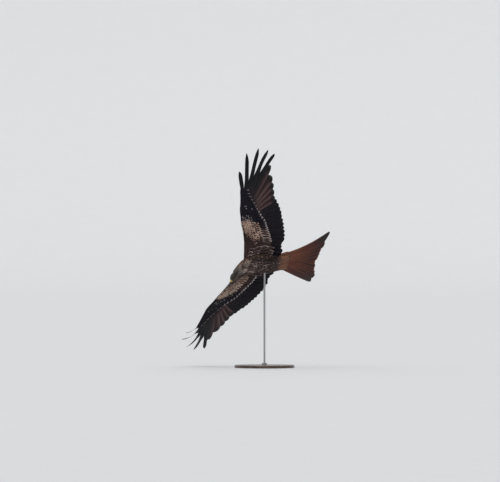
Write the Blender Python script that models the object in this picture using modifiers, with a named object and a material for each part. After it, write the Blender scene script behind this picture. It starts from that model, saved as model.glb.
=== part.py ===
"""Red kite, life size, soaring in a right-hand bank on a plain display stand.

Lengths are in metres and +Z is up. The floor is z = 0 and the origin is the middle of the
stand's underside. The bird is laid out in its own frame, x to the front, y to its left and z to
its back, whose origin lies between the shoulders; the bank then turns that frame.
A wing is laid out flat as a plan of (out, fore): out runs from the shoulder to the tip and fore
towards the bill. One function folds that plan into the raised, twisted wing.
"""

import bmesh
import bpy
from math import cos, exp, pi, radians, sin, sqrt
from mathutils import Matrix, Vector

GAP = 0.0003
HALF_GAP = GAP / 2
BLADE = 0.0011
SHARP_ANGLE = radians(38)

# Attitude of the body, in degrees, and the height of the point between the shoulders.
HEADING = -154.6
CLIMB = -0.7
BANK = 52.6
SHOULDER_HEIGHT = 0.66

# Stand: the rod is upright over the middle of the base and meets the body's axis at ROD_AXIS_X.
BASE_RADIUS = 0.19
BASE_THICKNESS = 0.018
BASE_ROUNDING = 0.004
ROD_RADIUS = 0.006
ROD_AXIS_X = -0.072
ROD_IN_BODY = 0.026
ROD_IN_BASE = 0.010
COLLAR_RADIUS = 0.016
COLLAR_HEIGHT = 0.012

# Wing plan: leading and trailing edge as (out, fore).
LEADING_EDGE = (
    (-0.030, 0.070), (0.000, 0.077), (0.060, 0.088), (0.120, 0.101), (0.190, 0.123),
    (0.257, 0.150), (0.304, 0.162), (0.357, 0.176), (0.420, 0.182), (0.500, 0.197),
)
TRAILING_EDGE = (
    (-0.030, -0.165), (0.000, -0.174), (0.037, -0.182), (0.086, -0.165), (0.118, -0.179),
    (0.182, -0.169), (0.242, -0.151), (0.281, -0.137), (0.310, -0.126), (0.343, -0.115),
    (0.377, -0.095), (0.408, -0.076), (0.461, -0.051), (0.556, -0.016), (0.649, 0.003),
)
WRIST_OUT = 0.316
HAND_END_OUT = 0.470
HAND_POINT_OUT = 0.497
ROOT_OUT = -0.030
# The flesh and its coverts end at a straight line behind the arm and another behind the hand.
ARM_REAR = (Vector((ROOT_OUT, -0.060)), Vector((WRIST_OUT, 0.052)))
HAND_REAR = (Vector((WRIST_OUT, 0.052)), Vector((HAND_END_OUT, 0.168)))
# The edge between secondaries and primaries runs from the wrist to this notch.
INNER_NOTCH = Vector((0.4125, -0.0655))
HALF_THICKNESS = (
    (-0.030, 0.0140), (0.000, 0.0135), (0.120, 0.0115), (0.300, 0.0090), (0.400, 0.0048),
    (0.470, 0.0020), (0.500, 0.0014),
)
NOSE_PART = 0.22
NOSE_FALL = 0.62
CAMBER = ((-0.030, 0.018), (0.150, 0.018), (0.300, 0.012), (0.420, 0.004), (0.520, 0.0))
SECONDARY_COUNT = 14
SECONDARY_FIRST_TIP = 0.408
SECONDARY_LAST_TIP = 0.020
SECONDARY_NOTCH = 0.008
TIP_ROUNDING = 0.32

# Primary tips, innermost first; the outer five stand apart as fingers from the slots outwards.
PRIMARY_TIPS = (
    (0.425, -0.068), (0.461, -0.052), (0.506, -0.040), (0.560, -0.020), (0.652, 0.003),
)
PRIMARY_NOTCH = 0.011
PRIMARY_HUB = Vector((0.320, 0.140))
SLOTS = {
    5: Vector((0.646, 0.027)), 6: Vector((0.609, 0.080)), 7: Vector((0.589, 0.120)),
    8: Vector((0.561, 0.151)), 9: Vector((0.506, 0.174)), 10: Vector((0.500, 0.196)),
}
FINGER_TIPS = {
    6: Vector((0.748, 0.000)), 7: Vector((0.785, 0.056)), 8: Vector((0.779, 0.111)),
    9: Vector((0.724, 0.170)), 10: Vector((0.616, 0.213)),
}
FINGER_LEAD = 0.0095
FINGER_TRAIL = 0.018
FINGER_SAG = 0.03
FINGER_ROWS = 7
BLADE_ROWS = 3
TAIL_ROWS = 5

# Alula: where it starts along the wing, its length and width, and its place on the leading edge.
ALULA_START = 0.312
ALULA_LENGTH = 0.093
ALULA_WIDTH = 0.016
ALULA_SETBACK = 0.009
ALULA_THICKNESS = 0.0016
ALULA_CLEAR = 0.0008
ALULA_ROWS = 6

# How each wing is held, in degrees: forward sweep, rise of arm and hand, nose-up angle at the root,
# its change per metre outwards and its further change past the wrist. For each finger feather, how
# far the air lifts its tip, in metres, and turns its front edge down, in degrees.
WING_POSE = {
    "left": {
        "side": 1, "sweep": 2.4, "arm_rise": 4.6, "hand_rise": 11.8, "incidence": 1.7,
        "washout": -12.3, "hand_twist": 0.0,
        "finger_rise": {6: -0.014, 7: -0.020, 8: 0.017, 9: 0.059, 10: 0.034},
        "finger_turn": {6: 0.0, 7: 0.0, 8: 0.0, 9: 0.0, 10: 0.0},
    },
    "right": {
        "side": -1, "sweep": 8.1, "arm_rise": 1.7, "hand_rise": 13.6, "incidence": -3.2,
        "washout": -9.2, "hand_twist": -7.0,
        "finger_rise": {6: -0.002, 7: 0.034, 8: 0.066, 9: 0.098, 10: 0.055},
        "finger_turn": {6: 0.0, 7: 5.0, 8: 10.0, 9: 24.0, 10: 28.0},
    },
}
HAND_TWIST_START = 0.32
HAND_TWIST_LENGTH = 0.17
SHOULDER_Y = 0.042
SHOULDER_Z = 0.015
BEND_START = 0.17
BEND_LENGTH = 0.16

# Tail feathers, innermost first: degrees from the body's axis, and length from the tail's root.
RECTRICES = ((2.5, 0.312), (7.5, 0.327), (12.5, 0.334), (17.5, 0.348), (23.0, 0.364), (28.5, 0.410))
TAIL_ROOT = Vector((-0.130, 0.018, 0.020))
TAIL_COVERTS_END = -0.215
TAIL_COVERTS_HALF = 0.065
TAIL_NOTCH = 0.009
TAIL_DROOP = 0.015
TAIL_RISE = {"left": 0.014, "right": 0.052}
TAIL_BOW = {"left": 0.022, "right": 0.002}

# Body sections, tail to neck: centre (x, y, z), half width, height above and depth below it.
BODY = (
    ((-0.215, 0.000, 0.018), 0.067, 0.0050, 0.0050),
    ((-0.180, 0.000, 0.017), 0.057, 0.0110, 0.0120),
    ((-0.150, 0.000, 0.013), 0.049, 0.0190, 0.0220),
    ((-0.120, 0.000, 0.008), 0.046, 0.0290, 0.0340),
    ((-0.080, 0.000, 0.002), 0.054, 0.0400, 0.0470),
    ((-0.030, 0.000, -0.002), 0.060, 0.0460, 0.0540),
    ((0.015, -0.002, -0.002), 0.059, 0.0465, 0.0540),
    ((0.050, -0.009, -0.005), 0.050, 0.0410, 0.0460),
    ((0.080, -0.023, -0.012), 0.037, 0.0340, 0.0370),
    ((0.104, -0.039, -0.022), 0.030, 0.0290, 0.0310),
    ((0.126, -0.054, -0.034), 0.026, 0.0250, 0.0260),
)
TAIL_CUT = 2
NECK_CUT = 7
SUBSTEPS = 2
RING_SIDES = 16

# Head: middle of the skull, and its turn, nod and tilt in degrees. Its sections run from the
# nape to the bill: distance ahead of the middle, half width, height above and depth below.
SKULL = Vector((0.139, -0.069, -0.044))
HEAD_TURN = -55.0
HEAD_NOD = -22.0
HEAD_TILT = -52.0
HEAD_SECTIONS = (
    (-0.0310, 0.0060, 0.0060, 0.0060), (-0.0280, 0.0130, 0.0125, 0.0130),
    (-0.0200, 0.0195, 0.0185, 0.0200), (-0.0080, 0.0230, 0.0220, 0.0235),
    (0.0040, 0.0235, 0.0225, 0.0235), (0.0140, 0.0210, 0.0195, 0.0210),
    (0.0220, 0.0160, 0.0150, 0.0165), (0.0290, 0.0095, 0.0100, 0.0105),
)
# Bill sections as (ahead, half width, top, bottom) of the upper and lower mandible.
BILL_UPPER = (
    (0.0293, 0.0072, 0.0085, -0.0030), (0.0370, 0.0064, 0.0078, -0.0036),
    (0.0440, 0.0052, 0.0058, -0.0042), (0.0500, 0.0040, 0.0020, -0.0058),
    (0.0540, 0.0028, -0.0030, -0.0100), (0.0555, 0.0012, -0.0090, -0.0135),
)
BILL_LOWER = (
    (0.0293, 0.0068, -0.0033, -0.0098), (0.0370, 0.0058, -0.0039, -0.0092),
    (0.0430, 0.0046, -0.0045, -0.0086), (0.0480, 0.0030, -0.0061, -0.0084),
)
BILL_SIDES = 10
EYE_RADIUS = 0.0062
EYE_PLACE = Vector((0.0075, 0.0172, 0.0045))

# Legs, folded back under the vent: points along the middle with a radius at each.
LEG = (
    ((-0.090, 0.030, -0.036), 0.0140), ((-0.105, 0.029, -0.034), 0.0150),
    ((-0.122, 0.026, -0.030), 0.0120), ((-0.136, 0.023, -0.026), 0.0075),
)
TOE_RADIUS = 0.0042
TARSUS = ((-0.1372, 0.0228, -0.0256), (-0.150, 0.020, -0.0200), (-0.163, 0.0175, -0.0160))
TOES = (
    ((-0.160, 0.0175, -0.0160), (-0.178, 0.0235, -0.0140), (-0.192, 0.0255, -0.0100)),
    ((-0.160, 0.0175, -0.0165), (-0.182, 0.0170, -0.0140), (-0.198, 0.0170, -0.0090)),
    ((-0.160, 0.0175, -0.0160), (-0.178, 0.0105, -0.0145), (-0.190, 0.0085, -0.0105)),
)

COLOURS = {
    "plumage_brown": (0.060, 0.032, 0.020, 0.75), "plumage_head": (0.30, 0.27, 0.24, 0.75),
    "plumage_dark": (0.018, 0.014, 0.014, 0.70), "plumage_tail": (0.17, 0.060, 0.025, 0.70),
    "bill_horn": (0.020, 0.020, 0.022, 0.35), "eye": (0.35, 0.25, 0.10, 0.10),
    "foot_skin": (0.55, 0.38, 0.06, 0.55), "stand_wood": (0.055, 0.030, 0.018, 0.35),
    "stand_steel": (0.35, 0.35, 0.36, 0.30),
}


def clear_scene():
    for thing in list(bpy.data.objects):
        bpy.data.objects.remove(thing)


def new_collection(name):
    group = bpy.data.collections.new(name)
    bpy.context.scene.collection.children.link(group)
    return group


def material(name, slot):
    red, green, blue, roughness = COLOURS[slot]
    finish = bpy.data.materials.new(name)
    finish.use_nodes = True
    shader = finish.node_tree.nodes["Principled BSDF"]
    shader.inputs["Base Color"].default_value = (red, green, blue, 1.0)
    shader.inputs["Roughness"].default_value = roughness
    shader.inputs["Metallic"].default_value = 1.0 if slot == "stand_steel" else 0.0
    return finish


def add_object(group, name, mesh, slot):
    piece = bpy.data.objects.new(name, mesh)
    mesh.materials.clear()
    mesh.materials.append(material(name, slot))
    mesh.shade_smooth()
    mesh.set_sharp_from_angle(angle=SHARP_ANGLE)
    group.objects.link(piece)
    return piece


def add_cutter(group, name, mesh):
    cutter = bpy.data.objects.new(name, mesh)
    cutter.hide_render = True
    cutter.display_type = "WIRE"
    group.objects.link(cutter)
    return cutter


def cut_away(piece, cutter):
    cut = piece.modifiers.new("cut by " + cutter.name, "BOOLEAN")
    cut.operation = "DIFFERENCE"
    cut.object = cutter


def smooth_step(value):
    value = min(max(value, 0.0), 1.0)
    return value * value * (3 - 2 * value)


def through(table, x):
    """Height at x of the smooth curve through a table of (x, y) points."""
    last = len(table) - 1
    i = 0
    while i < last - 1 and x > table[i + 1][0]:
        i += 1
    before, start, end, after = (table[max(0, min(last, i + k))] for k in (-1, 0, 1, 2))
    width = end[0] - start[0]
    slope_start = (end[1] - before[1]) / (end[0] - before[0]) * width
    slope_end = (after[1] - start[1]) / (after[0] - start[0]) * width
    t = min(max((x - start[0]) / width, 0.0), 1.0)
    return (
        (2 * t**3 - 3 * t**2 + 1) * start[1] + (t**3 - 2 * t**2 + t) * slope_start
        + (3 * t**2 - 2 * t**3) * end[1] + (t**3 - t**2) * slope_end
    )


def loft_mesh(name, rings):
    """Closed mesh through rings of equal point count, capped at both ends."""
    shape = bmesh.new()
    rows = [[shape.verts.new(point) for point in ring] for ring in rings]
    count = len(rows[0])
    for near, far in zip(rows, rows[1:]):
        for k in range(count):
            after = (k + 1) % count
            shape.faces.new((near[k], near[after], far[after], far[k]))
    shape.faces.new(rows[0])
    shape.faces.new(rows[-1])
    bmesh.ops.triangulate(shape, faces=shape.faces)
    bmesh.ops.recalc_face_normals(shape, faces=shape.faces)
    mesh = bpy.data.meshes.new(name)
    shape.to_mesh(mesh)
    shape.free()
    return mesh


def sheet_object(group, name, rows, slot):
    """Thin blade: an open grid of points given half of its thickness on each side."""
    shape = bmesh.new()
    grid = [[shape.verts.new(point) for point in row] for row in rows]
    for near, far in zip(grid, grid[1:]):
        for k in range(len(near) - 1):
            shape.faces.new((near[k], near[k + 1], far[k + 1], far[k]))
    bmesh.ops.triangulate(shape, faces=shape.faces)
    mesh = bpy.data.meshes.new(name)
    shape.to_mesh(mesh)
    shape.free()
    blade = add_object(group, name, mesh, slot)
    shell = blade.modifiers.new("thickness", "SOLIDIFY")
    shell.thickness = BLADE
    shell.offset = 0.0
    return blade


def attitude():
    turn = Matrix.Rotation(radians(HEADING), 3, "Z")
    climb = Matrix.Rotation(radians(-CLIMB), 3, "Y")
    bank = Matrix.Rotation(radians(BANK), 3, "X")
    return turn @ climb @ bank


ATTITUDE = attitude()
FRONT = ATTITUDE @ Vector((1.0, 0.0, 0.0))
BODY_ORIGIN = Vector((-ROD_AXIS_X * FRONT.x, -ROD_AXIS_X * FRONT.y, SHOULDER_HEIGHT))


def place(point):
    """A point of the bird's own frame, put in the world."""
    return BODY_ORIGIN + ATTITUDE @ Vector(point)


def camber(out, fore):
    """Rise of the wing's middle surface over the straight line between its edges."""
    front = through(LEADING_EDGE, out)
    rear = through(TRAILING_EDGE, out)
    across = min(max((front - fore) / (front - rear), 0.0), 1.0)
    return through(CAMBER, min(out, 0.52)) * sin(pi * across**0.75)


def wing_point(wing, out, fore, rise=0.0):
    """Folds a point of the flat wing plan into the wing as it is held."""
    pose = WING_POSE[wing]
    lift = camber(out, fore) + rise
    sweep = radians(pose["sweep"])
    far = out * cos(sweep) - fore * sin(sweep)
    ahead = out * sin(sweep) + fore * cos(sweep)
    t = (far - BEND_START) / BEND_LENGTH
    if t < 0:
        past_bend = 0.0
    elif t < 1:
        past_bend = BEND_LENGTH * (t**3 - t**4 / 2)
    else:
        past_bend = BEND_LENGTH * (t - 0.5)
    arm = radians(pose["arm_rise"])
    hand = radians(pose["hand_rise"])
    span = far * cos(arm) + past_bend * (cos(hand) - cos(arm))
    height = far * sin(arm) + past_bend * (sin(hand) - sin(arm))
    past_wrist = smooth_step((far - HAND_TWIST_START) / HAND_TWIST_LENGTH)
    twist = radians(pose["incidence"] + pose["washout"] * far + pose["hand_twist"] * past_wrist)
    return place((
        ahead * cos(twist),
        pose["side"] * (SHOULDER_Y + span),
        SHOULDER_Z + height + ahead * sin(twist) + lift,
    ))


def rear_line(line, out):
    """Height of a line of two or more points over the plan's out."""
    k = 0
    while k < len(line) - 2 and out > line[k + 1].x:
        k += 1
    start, end = line[k], line[k + 1]
    return start.y + (end.y - start.y) * (out - start.x) / (end.x - start.x)


def flesh_half_height(out, part):
    """Half thickness of the fleshed wing, part 0 at the leading edge and 1 at its rear line."""
    if part < NOSE_PART:
        shape = sqrt(max(0.0, 1 - (1 - part / NOSE_PART) ** 2))
        return through(HALF_THICKNESS, out) * shape
    fall = exp(-(((part - NOSE_PART) / NOSE_FALL) ** 2))
    return BLADE + (through(HALF_THICKNESS, out) - BLADE) * fall


def flesh_ring(wing, out, line):
    front = through(LEADING_EDGE, out)
    rear = rear_line(line, out) + HALF_GAP
    parts = (1.0, 0.8, 0.6, 0.42, 0.27, 0.14, 0.05)
    top = [(part, flesh_half_height(out, part)) for part in parts]
    bottom = [(part, -height) for part, height in reversed(top)]
    ring = []
    for part, rise in top + [(0.0, 0.0)] + bottom:
        ring.append(wing_point(wing, out, front + (rear - front) * part, rise))
    return ring


def wing_flesh(group, name, wing, line, first, last, count):
    outs = [first + (last - first) * k / count for k in range(count + 1)]
    mesh = loft_mesh(name, [flesh_ring(wing, out, line) for out in outs])
    return add_object(group, name, mesh, "plumage_brown")


def scalloped(tips, hub, notch, start, end):
    """Edge through feather tips, each rounded on its inner side, with a notch between neighbours."""
    edges = [start]
    for near, far in zip(tips, tips[1:]):
        middle = (near + far) / 2
        edges.append(middle + (hub(middle) - middle).normalized() * notch)
    edges.append(end)
    line = [edges[0]]
    for k, tip in enumerate(tips):
        outward = (tip - hub(tip)).normalized() * notch * TIP_ROUNDING
        line.append(edges[k].lerp(tip, 0.65) + outward)
        line.append(tip)
        line.append(edges[k + 1])
    return line


def side_step(start, end, towards):
    """Half a gap square to the line from start to end, on the side of a given point."""
    along = end - start
    across = Vector((-along.y, along.x)).normalized() * HALF_GAP
    return across if across.dot(towards - start) > 0 else -across


def ruled_blade(group, name, inner, outer, bend, rows, slot):
    """Blade between two edges of equal point count, drawn in by half a gap all round."""
    grid = []
    for j in range(rows + 1):
        grid.append([a.lerp(b, j / rows) for a, b in zip(inner, outer)])
    drawn_in = [
        (side_step(inner[0], outer[0], outer[1]), [row[0] for row in grid]),
        (side_step(inner[-1], outer[-1], outer[-2]), [row[-1] for row in grid]),
        (side_step(inner[0], inner[-1], outer[len(outer) // 2]), grid[0]),
    ]
    for step, points in drawn_in:
        for point in points:
            point += step
    for near, far in zip(grid[-2], grid[-1]):
        far += (near - far).normalized() * HALF_GAP
    placed = [[bend(point, j / rows) for point in row] for j, row in enumerate(grid)]
    return sheet_object(group, name, placed, slot)


def spread(line, count):
    start, end = line
    return [start.lerp(end, k / (count - 1)) for k in range(count)]


def secondary_hub(tip):
    """Point of the forearm that a secondary's tip points away from."""
    return Vector((tip.x * 0.7, 0.10))


def primary_hub(tip):
    return PRIMARY_HUB


def tail_hub(tip):
    return Vector((0.0, TAIL_ROOT.y))


def wing_bend(wing):
    def bend(point, part):
        return wing_point(wing, point.x, point.y)
    return bend


def secondaries(group, wing):
    name = "wing_" + wing + "_secondaries"
    step = (SECONDARY_FIRST_TIP - SECONDARY_LAST_TIP) / (SECONDARY_COUNT - 1)
    outs = [SECONDARY_LAST_TIP + step * k for k in range(SECONDARY_COUNT)]
    tips = [Vector((out, through(TRAILING_EDGE, out))) for out in outs]
    start = Vector((ROOT_OUT, -0.150))
    outer = scalloped(tips, secondary_hub, SECONDARY_NOTCH, start, INNER_NOTCH)
    inner = spread(ARM_REAR, len(outer))
    return ruled_blade(group, name, inner, outer, wing_bend(wing), BLADE_ROWS, "plumage_dark")


def primaries(group, wing):
    name = "wing_" + wing + "_primaries"
    tips = [Vector(tip) for tip in PRIMARY_TIPS]
    outer = scalloped(tips, primary_hub, PRIMARY_NOTCH, INNER_NOTCH, SLOTS[5])
    for number in range(6, 11):
        outer.append(SLOTS[number - 1].lerp(SLOTS[number], 0.5))
        outer.append(SLOTS[number].copy())
    inner = spread(HAND_REAR, len(outer))
    return ruled_blade(group, name, inner, outer, wing_bend(wing), BLADE_ROWS, "plumage_dark")


def finger(group, wing, number):
    """One separated primary, from its slots to its tip."""
    pose = WING_POSE[wing]
    turn = radians(pose["finger_turn"][number])
    lead_start = SLOTS[number]
    trail_start = SLOTS[number - 1]
    tip = FINGER_TIPS[number]
    start = (lead_start + trail_start) / 2
    along = tip - start
    ahead = Vector((-along.y, along.x)).normalized()
    rows = []
    for j in range(FINGER_ROWS + 1):
        s = j / FINGER_ROWS
        middle = start + along * s + ahead * (4 * s * (1 - s) * FINGER_SAG * along.length)
        taper = max(0.12, (1 - min(1.0, max(s - 0.7, 0.0) / 0.3) ** 2) ** 0.7)
        settle = smooth_step(s / 0.35)
        lead_half = FINGER_LEAD * taper
        trail_half = FINGER_TRAIL * taper
        lead = (lead_start + along * s).lerp(middle + ahead * lead_half * cos(turn), settle)
        trail = (trail_start + along * s).lerp(middle - ahead * trail_half * cos(turn), settle)
        inset = along.normalized() * HALF_GAP * (1 - s)
        side = (trail - lead).normalized() * HALF_GAP
        edges = (
            (lead + side + inset, -lead_half), ((lead + trail) / 2 + inset, 0.0),
            (trail - side + inset, trail_half))
        rise = pose["finger_rise"][number] * s * s
        rows.append([wing_point(wing, p.x, p.y, rise + half * sin(turn) * settle) for p, half in edges])
    name = "wing_" + wing + "_primary_" + str(number)
    return sheet_object(group, name, rows, "plumage_dark")


def alula(group, wing):
    """Small stiff feathers of the thumb, lying along the top of the leading edge."""
    rings = []
    for j in range(ALULA_ROWS + 1):
        s = j / ALULA_ROWS
        out = ALULA_START + ALULA_LENGTH * s
        front = through(LEADING_EDGE, out)
        chord = front - rear_line(HAND_REAR, out)
        width = ALULA_WIDTH * (1 - 0.75 * s * s)
        lower = [(part, 0.0) for part in (0.0, 0.5, 1.0)]
        upper = [(part, ALULA_THICKNESS) for part in (1.0, 0.5, 0.0)]
        ring = []
        for part, lift in lower + upper:
            behind = ALULA_SETBACK + width * part
            clear = flesh_half_height(out, behind / chord) + ALULA_CLEAR
            ring.append(wing_point(wing, out, front - behind, clear + lift))
        rings.append(ring)
    name = "wing_" + wing + "_alula"
    return add_object(group, name, loft_mesh(name, rings), "plumage_dark")


def tail_half(group, wing):
    side = WING_POSE[wing]["side"]
    widest, longest = RECTRICES[-1]

    def tip_point(angle, length):
        return Vector((length * cos(radians(angle)), length * sin(radians(angle)) + TAIL_ROOT.y))

    def bend(point, part):
        turned = (point.y / (point.x * sin(radians(widest)) + TAIL_ROOT.y)) if point.y > 0 else 0.0
        reach = point.x / longest
        bow = TAIL_BOW[wing] * 4 * part * (1 - part) * min(turned, 1.0)
        rise = (TAIL_RISE[wing] + TAIL_DROOP) * min(turned, 1.2) ** 2 * reach**2 - TAIL_DROOP * reach**2
        return place((TAIL_ROOT.x - point.x, side * (point.y - bow), TAIL_ROOT.z + rise))

    tips = [tip_point(angle, length) for angle, length in RECTRICES]
    start = Vector((0.290, 0.0))
    end = tip_point(widest + 0.8, longest * 0.965)
    outer = scalloped(tips, tail_hub, TAIL_NOTCH, start, end)
    base = TAIL_ROOT.x - TAIL_COVERTS_END + GAP
    inner = spread((Vector((base, 0.0)), Vector((base, TAIL_COVERTS_HALF))), len(outer))
    return ruled_blade(group, "tail_" + wing, inner, outer, bend, TAIL_ROWS, "plumage_tail")


def body_section(t):
    """Centre and half sizes of the body at station t, smooth between the given sections."""
    rows = [centre + tuple(sizes) for centre, *sizes in BODY]
    values = [through([(k, row[column]) for k, row in enumerate(rows)], t) for column in range(6)]
    return Vector(values[:3]), values[3:]


def body_ring(t, grow=0.0, shift=0.0):
    centre, (half, above, below) = body_section(t)
    last = len(BODY) - 1
    ahead = body_section(min(t + 0.2, last))[0] - body_section(max(t - 0.2, 0))[0]
    ahead.normalize()
    left = Vector((0, 0, 1)).cross(ahead).normalized()
    up = ahead.cross(left)
    ring = []
    for k in range(RING_SIDES):
        angle = 2 * pi * k / RING_SIDES
        high = above if sin(angle) > 0 else below
        point = centre + ahead * shift
        point += left * (half + grow) * cos(angle) + up * (high + grow) * sin(angle)
        ring.append(place(point))
    return ring


def body_length(name, first, last, grow=0.0, draw_in=0.0):
    count = round((last - first) * SUBSTEPS)
    rings = []
    for k in range(count + 1):
        t = first + (last - first) * k / count
        shift = draw_in if k == 0 else -draw_in if k == count else 0.0
        rings.append(body_ring(t, grow, shift))
    return loft_mesh(name, rings)


def head_axes():
    turn = Matrix.Rotation(radians(HEAD_TURN), 3, "Z")
    nod = Matrix.Rotation(radians(-HEAD_NOD), 3, "Y")
    tilt = Matrix.Rotation(radians(HEAD_TILT), 3, "X")
    return turn @ nod @ tilt


HEAD_AXES = head_axes()


def head_place(ahead, left, up):
    return place(SKULL + HEAD_AXES @ Vector((ahead, left, up)))


def head_mesh(name, grow=0.0):
    rings = []
    for k, (ahead, half, above, below) in enumerate(HEAD_SECTIONS):
        ends = grow if k == len(HEAD_SECTIONS) - 1 else -grow if k == 0 else 0.0
        ring = []
        for j in range(RING_SIDES):
            angle = 2 * pi * j / RING_SIDES
            high = above if sin(angle) > 0 else below
            ring.append(head_place(ahead + ends, (half + grow) * cos(angle), (high + grow) * sin(angle)))
        rings.append(ring)
    return loft_mesh(name, rings)


def mandible(group, name, sections):
    rings = []
    for ahead, half, top, bottom in sections:
        middle = (top + bottom) / 2
        high = (top - bottom) / 2
        ring = []
        for j in range(BILL_SIDES):
            angle = 2 * pi * (j + 0.5) / BILL_SIDES
            ring.append(head_place(ahead, half * cos(angle), middle + high * sin(angle)))
        rings.append(ring)
    return add_object(group, name, loft_mesh(name, rings), "bill_horn")


def eye_mesh(name, side, radius):
    shape = bmesh.new()
    bmesh.ops.create_uvsphere(shape, u_segments=12, v_segments=8, radius=radius)
    centre = head_place(EYE_PLACE.x, side * EYE_PLACE.y, EYE_PLACE.z)
    bmesh.ops.translate(shape, verts=shape.verts, vec=centre)
    mesh = bpy.data.meshes.new(name)
    shape.to_mesh(mesh)
    shape.free()
    return mesh


def tube_mesh(name, points, radii, side, sides=10):
    """Closed round tube of changing radius along points of the bird's frame."""
    centres = [Vector((x, side * y, z)) for x, y, z in points]
    rings = []
    for k, centre in enumerate(centres):
        ahead = centres[min(k + 1, len(centres) - 1)] - centres[max(k - 1, 0)]
        ahead.normalize()
        left = Vector((0, 0, 1)).cross(ahead).normalized()
        up = ahead.cross(left)
        ring = []
        for j in range(sides):
            angle = 2 * pi * j / sides
            ring.append(place(centre + (left * cos(angle) + up * sin(angle)) * radii[k]))
        rings.append(ring)
    return loft_mesh(name, rings)


def leg_mesh(name, side, grow=0.0):
    points = [point for point, radius in LEG]
    radii = [radius + grow for point, radius in LEG]
    return tube_mesh(name, points, radii, side, 12)


def join_to(piece, group, name, mesh):
    extra = add_cutter(group, name, mesh)
    union = piece.modifiers.new("join " + name, "BOOLEAN")
    union.operation = "UNION"
    union.object = extra


def foot(group, cutters, wing):
    """Shank and three closed front toes, drawn back flat under the tail's root."""
    side = WING_POSE[wing]["side"]
    name = "foot_" + wing
    shank = [TOE_RADIUS * 1.15, TOE_RADIUS, TOE_RADIUS * 1.1]
    mesh = tube_mesh(name, TARSUS, shank, side, 8)
    piece = add_object(group, name, mesh, "foot_skin")
    for k, toe in enumerate(TOES):
        radii = [TOE_RADIUS, TOE_RADIUS * 0.85, TOE_RADIUS * 0.35]
        join_to(piece, cutters, name + "_toe_" + str(k), tube_mesh(name, toe, radii, side, 8))


def cylinder_mesh(name, radius, bottom, top, sides=32):
    shape = bmesh.new()
    bmesh.ops.create_cone(
        shape, cap_ends=True, segments=sides, radius1=radius, radius2=radius, depth=top - bottom)
    bmesh.ops.translate(shape, verts=shape.verts, vec=(0, 0, (top + bottom) / 2))
    mesh = bpy.data.meshes.new(name)
    shape.to_mesh(mesh)
    shape.free()
    return mesh


def rod_top():
    """Height of the rod's upper end, inside the trunk."""
    return place((ROD_AXIS_X, 0, 0)).z - ROD_IN_BODY


def stand(group, cutters):
    disc = cylinder_mesh("stand_base", BASE_RADIUS, 0.0, BASE_THICKNESS, 56)
    base = add_object(group, "stand_base", disc, "stand_wood")
    rounding = base.modifiers.new("rounded rim", "BEVEL")
    rounding.width = BASE_ROUNDING
    rounding.segments = 2
    rounding.limit_method = "ANGLE"
    socket_bottom = BASE_THICKNESS - ROD_IN_BASE
    socket = cylinder_mesh("base_socket", ROD_RADIUS + GAP, socket_bottom, BASE_THICKNESS + 0.01)
    cut_away(base, add_cutter(cutters, "base_socket", socket))
    rod = cylinder_mesh("stand_rod", ROD_RADIUS, socket_bottom + GAP, rod_top(), 24)
    add_object(group, "stand_rod", rod, "stand_steel")
    low = BASE_THICKNESS + GAP
    ring = cylinder_mesh("stand_collar", COLLAR_RADIUS, low, low + COLLAR_HEIGHT)
    collar = add_object(group, "stand_collar", ring, "stand_steel")
    bore = cylinder_mesh("collar_bore", ROD_RADIUS + GAP, low - 0.01, low + COLLAR_HEIGHT + 0.01)
    cut_away(collar, add_cutter(cutters, "collar_bore", bore))


def body_and_head(group, cutters):
    last = len(BODY) - 1
    trunk = add_object(
        group, "trunk", body_length("trunk", TAIL_CUT, NECK_CUT, draw_in=HALF_GAP), "plumage_brown")
    tail_base = add_object(
        group, "tail_base", body_length("tail_base", 0, TAIL_CUT, draw_in=HALF_GAP), "plumage_brown")
    neck = add_object(
        group, "neck", body_length("neck", NECK_CUT, last, draw_in=HALF_GAP), "plumage_head")
    cut_away(neck, add_cutter(cutters, "head_room", head_mesh("head_room", GAP)))
    head = add_object(group, "head", head_mesh("head"), "plumage_head")
    for wing, pose in WING_POSE.items():
        side = pose["side"]
        add_object(group, "eye_" + wing, eye_mesh("eye_" + wing, side, EYE_RADIUS), "eye")
        socket = add_cutter(cutters, "eye_room_" + wing, eye_mesh("eye_room", side, EYE_RADIUS + GAP))
        cut_away(head, socket)
        add_object(group, "leg_" + wing, leg_mesh("leg_" + wing, side), "plumage_brown")
        room = add_cutter(cutters, "leg_room_" + wing, leg_mesh("leg_room", side, GAP))
        cut_away(trunk, room)
        foot(group, cutters, wing)
        for k, toe in enumerate((TARSUS,) + TOES):
            radii = [TOE_RADIUS * 1.15 + GAP] * 3
            hollow = tube_mesh("foot_room", toe, radii, side, 8)
            cutter = add_cutter(cutters, "foot_room_" + wing + "_" + str(k), hollow)
            cut_away(trunk, cutter)
            cut_away(tail_base, cutter)
    mandible(group, "bill_upper", BILL_UPPER)
    mandible(group, "bill_lower", BILL_LOWER)
    bore = cylinder_mesh("rod_room", ROD_RADIUS + GAP, 0.4, rod_top() + GAP, 24)
    cut_away(trunk, add_cutter(cutters, "rod_room", bore))


def wings(group, cutters):
    last = len(BODY) - 1
    body_room = add_cutter(cutters, "body_room", body_length("body_room", 0, last, GAP))
    for wing in WING_POSE:
        prefix = "wing_" + wing
        arm = wing_flesh(group, prefix + "_arm", wing, ARM_REAR, ROOT_OUT, WRIST_OUT - HALF_GAP, 9)
        pointed = HAND_REAR + (SLOTS[10],)
        wing_flesh(group, prefix + "_hand", wing, pointed, WRIST_OUT + HALF_GAP, HAND_POINT_OUT, 7)
        inner = secondaries(group, wing)
        cut_away(arm, body_room)
        cut_away(inner, body_room)
        primaries(group, wing)
        alula(group, wing)
        for number in FINGER_TIPS:
            finger(group, wing, number)


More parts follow.
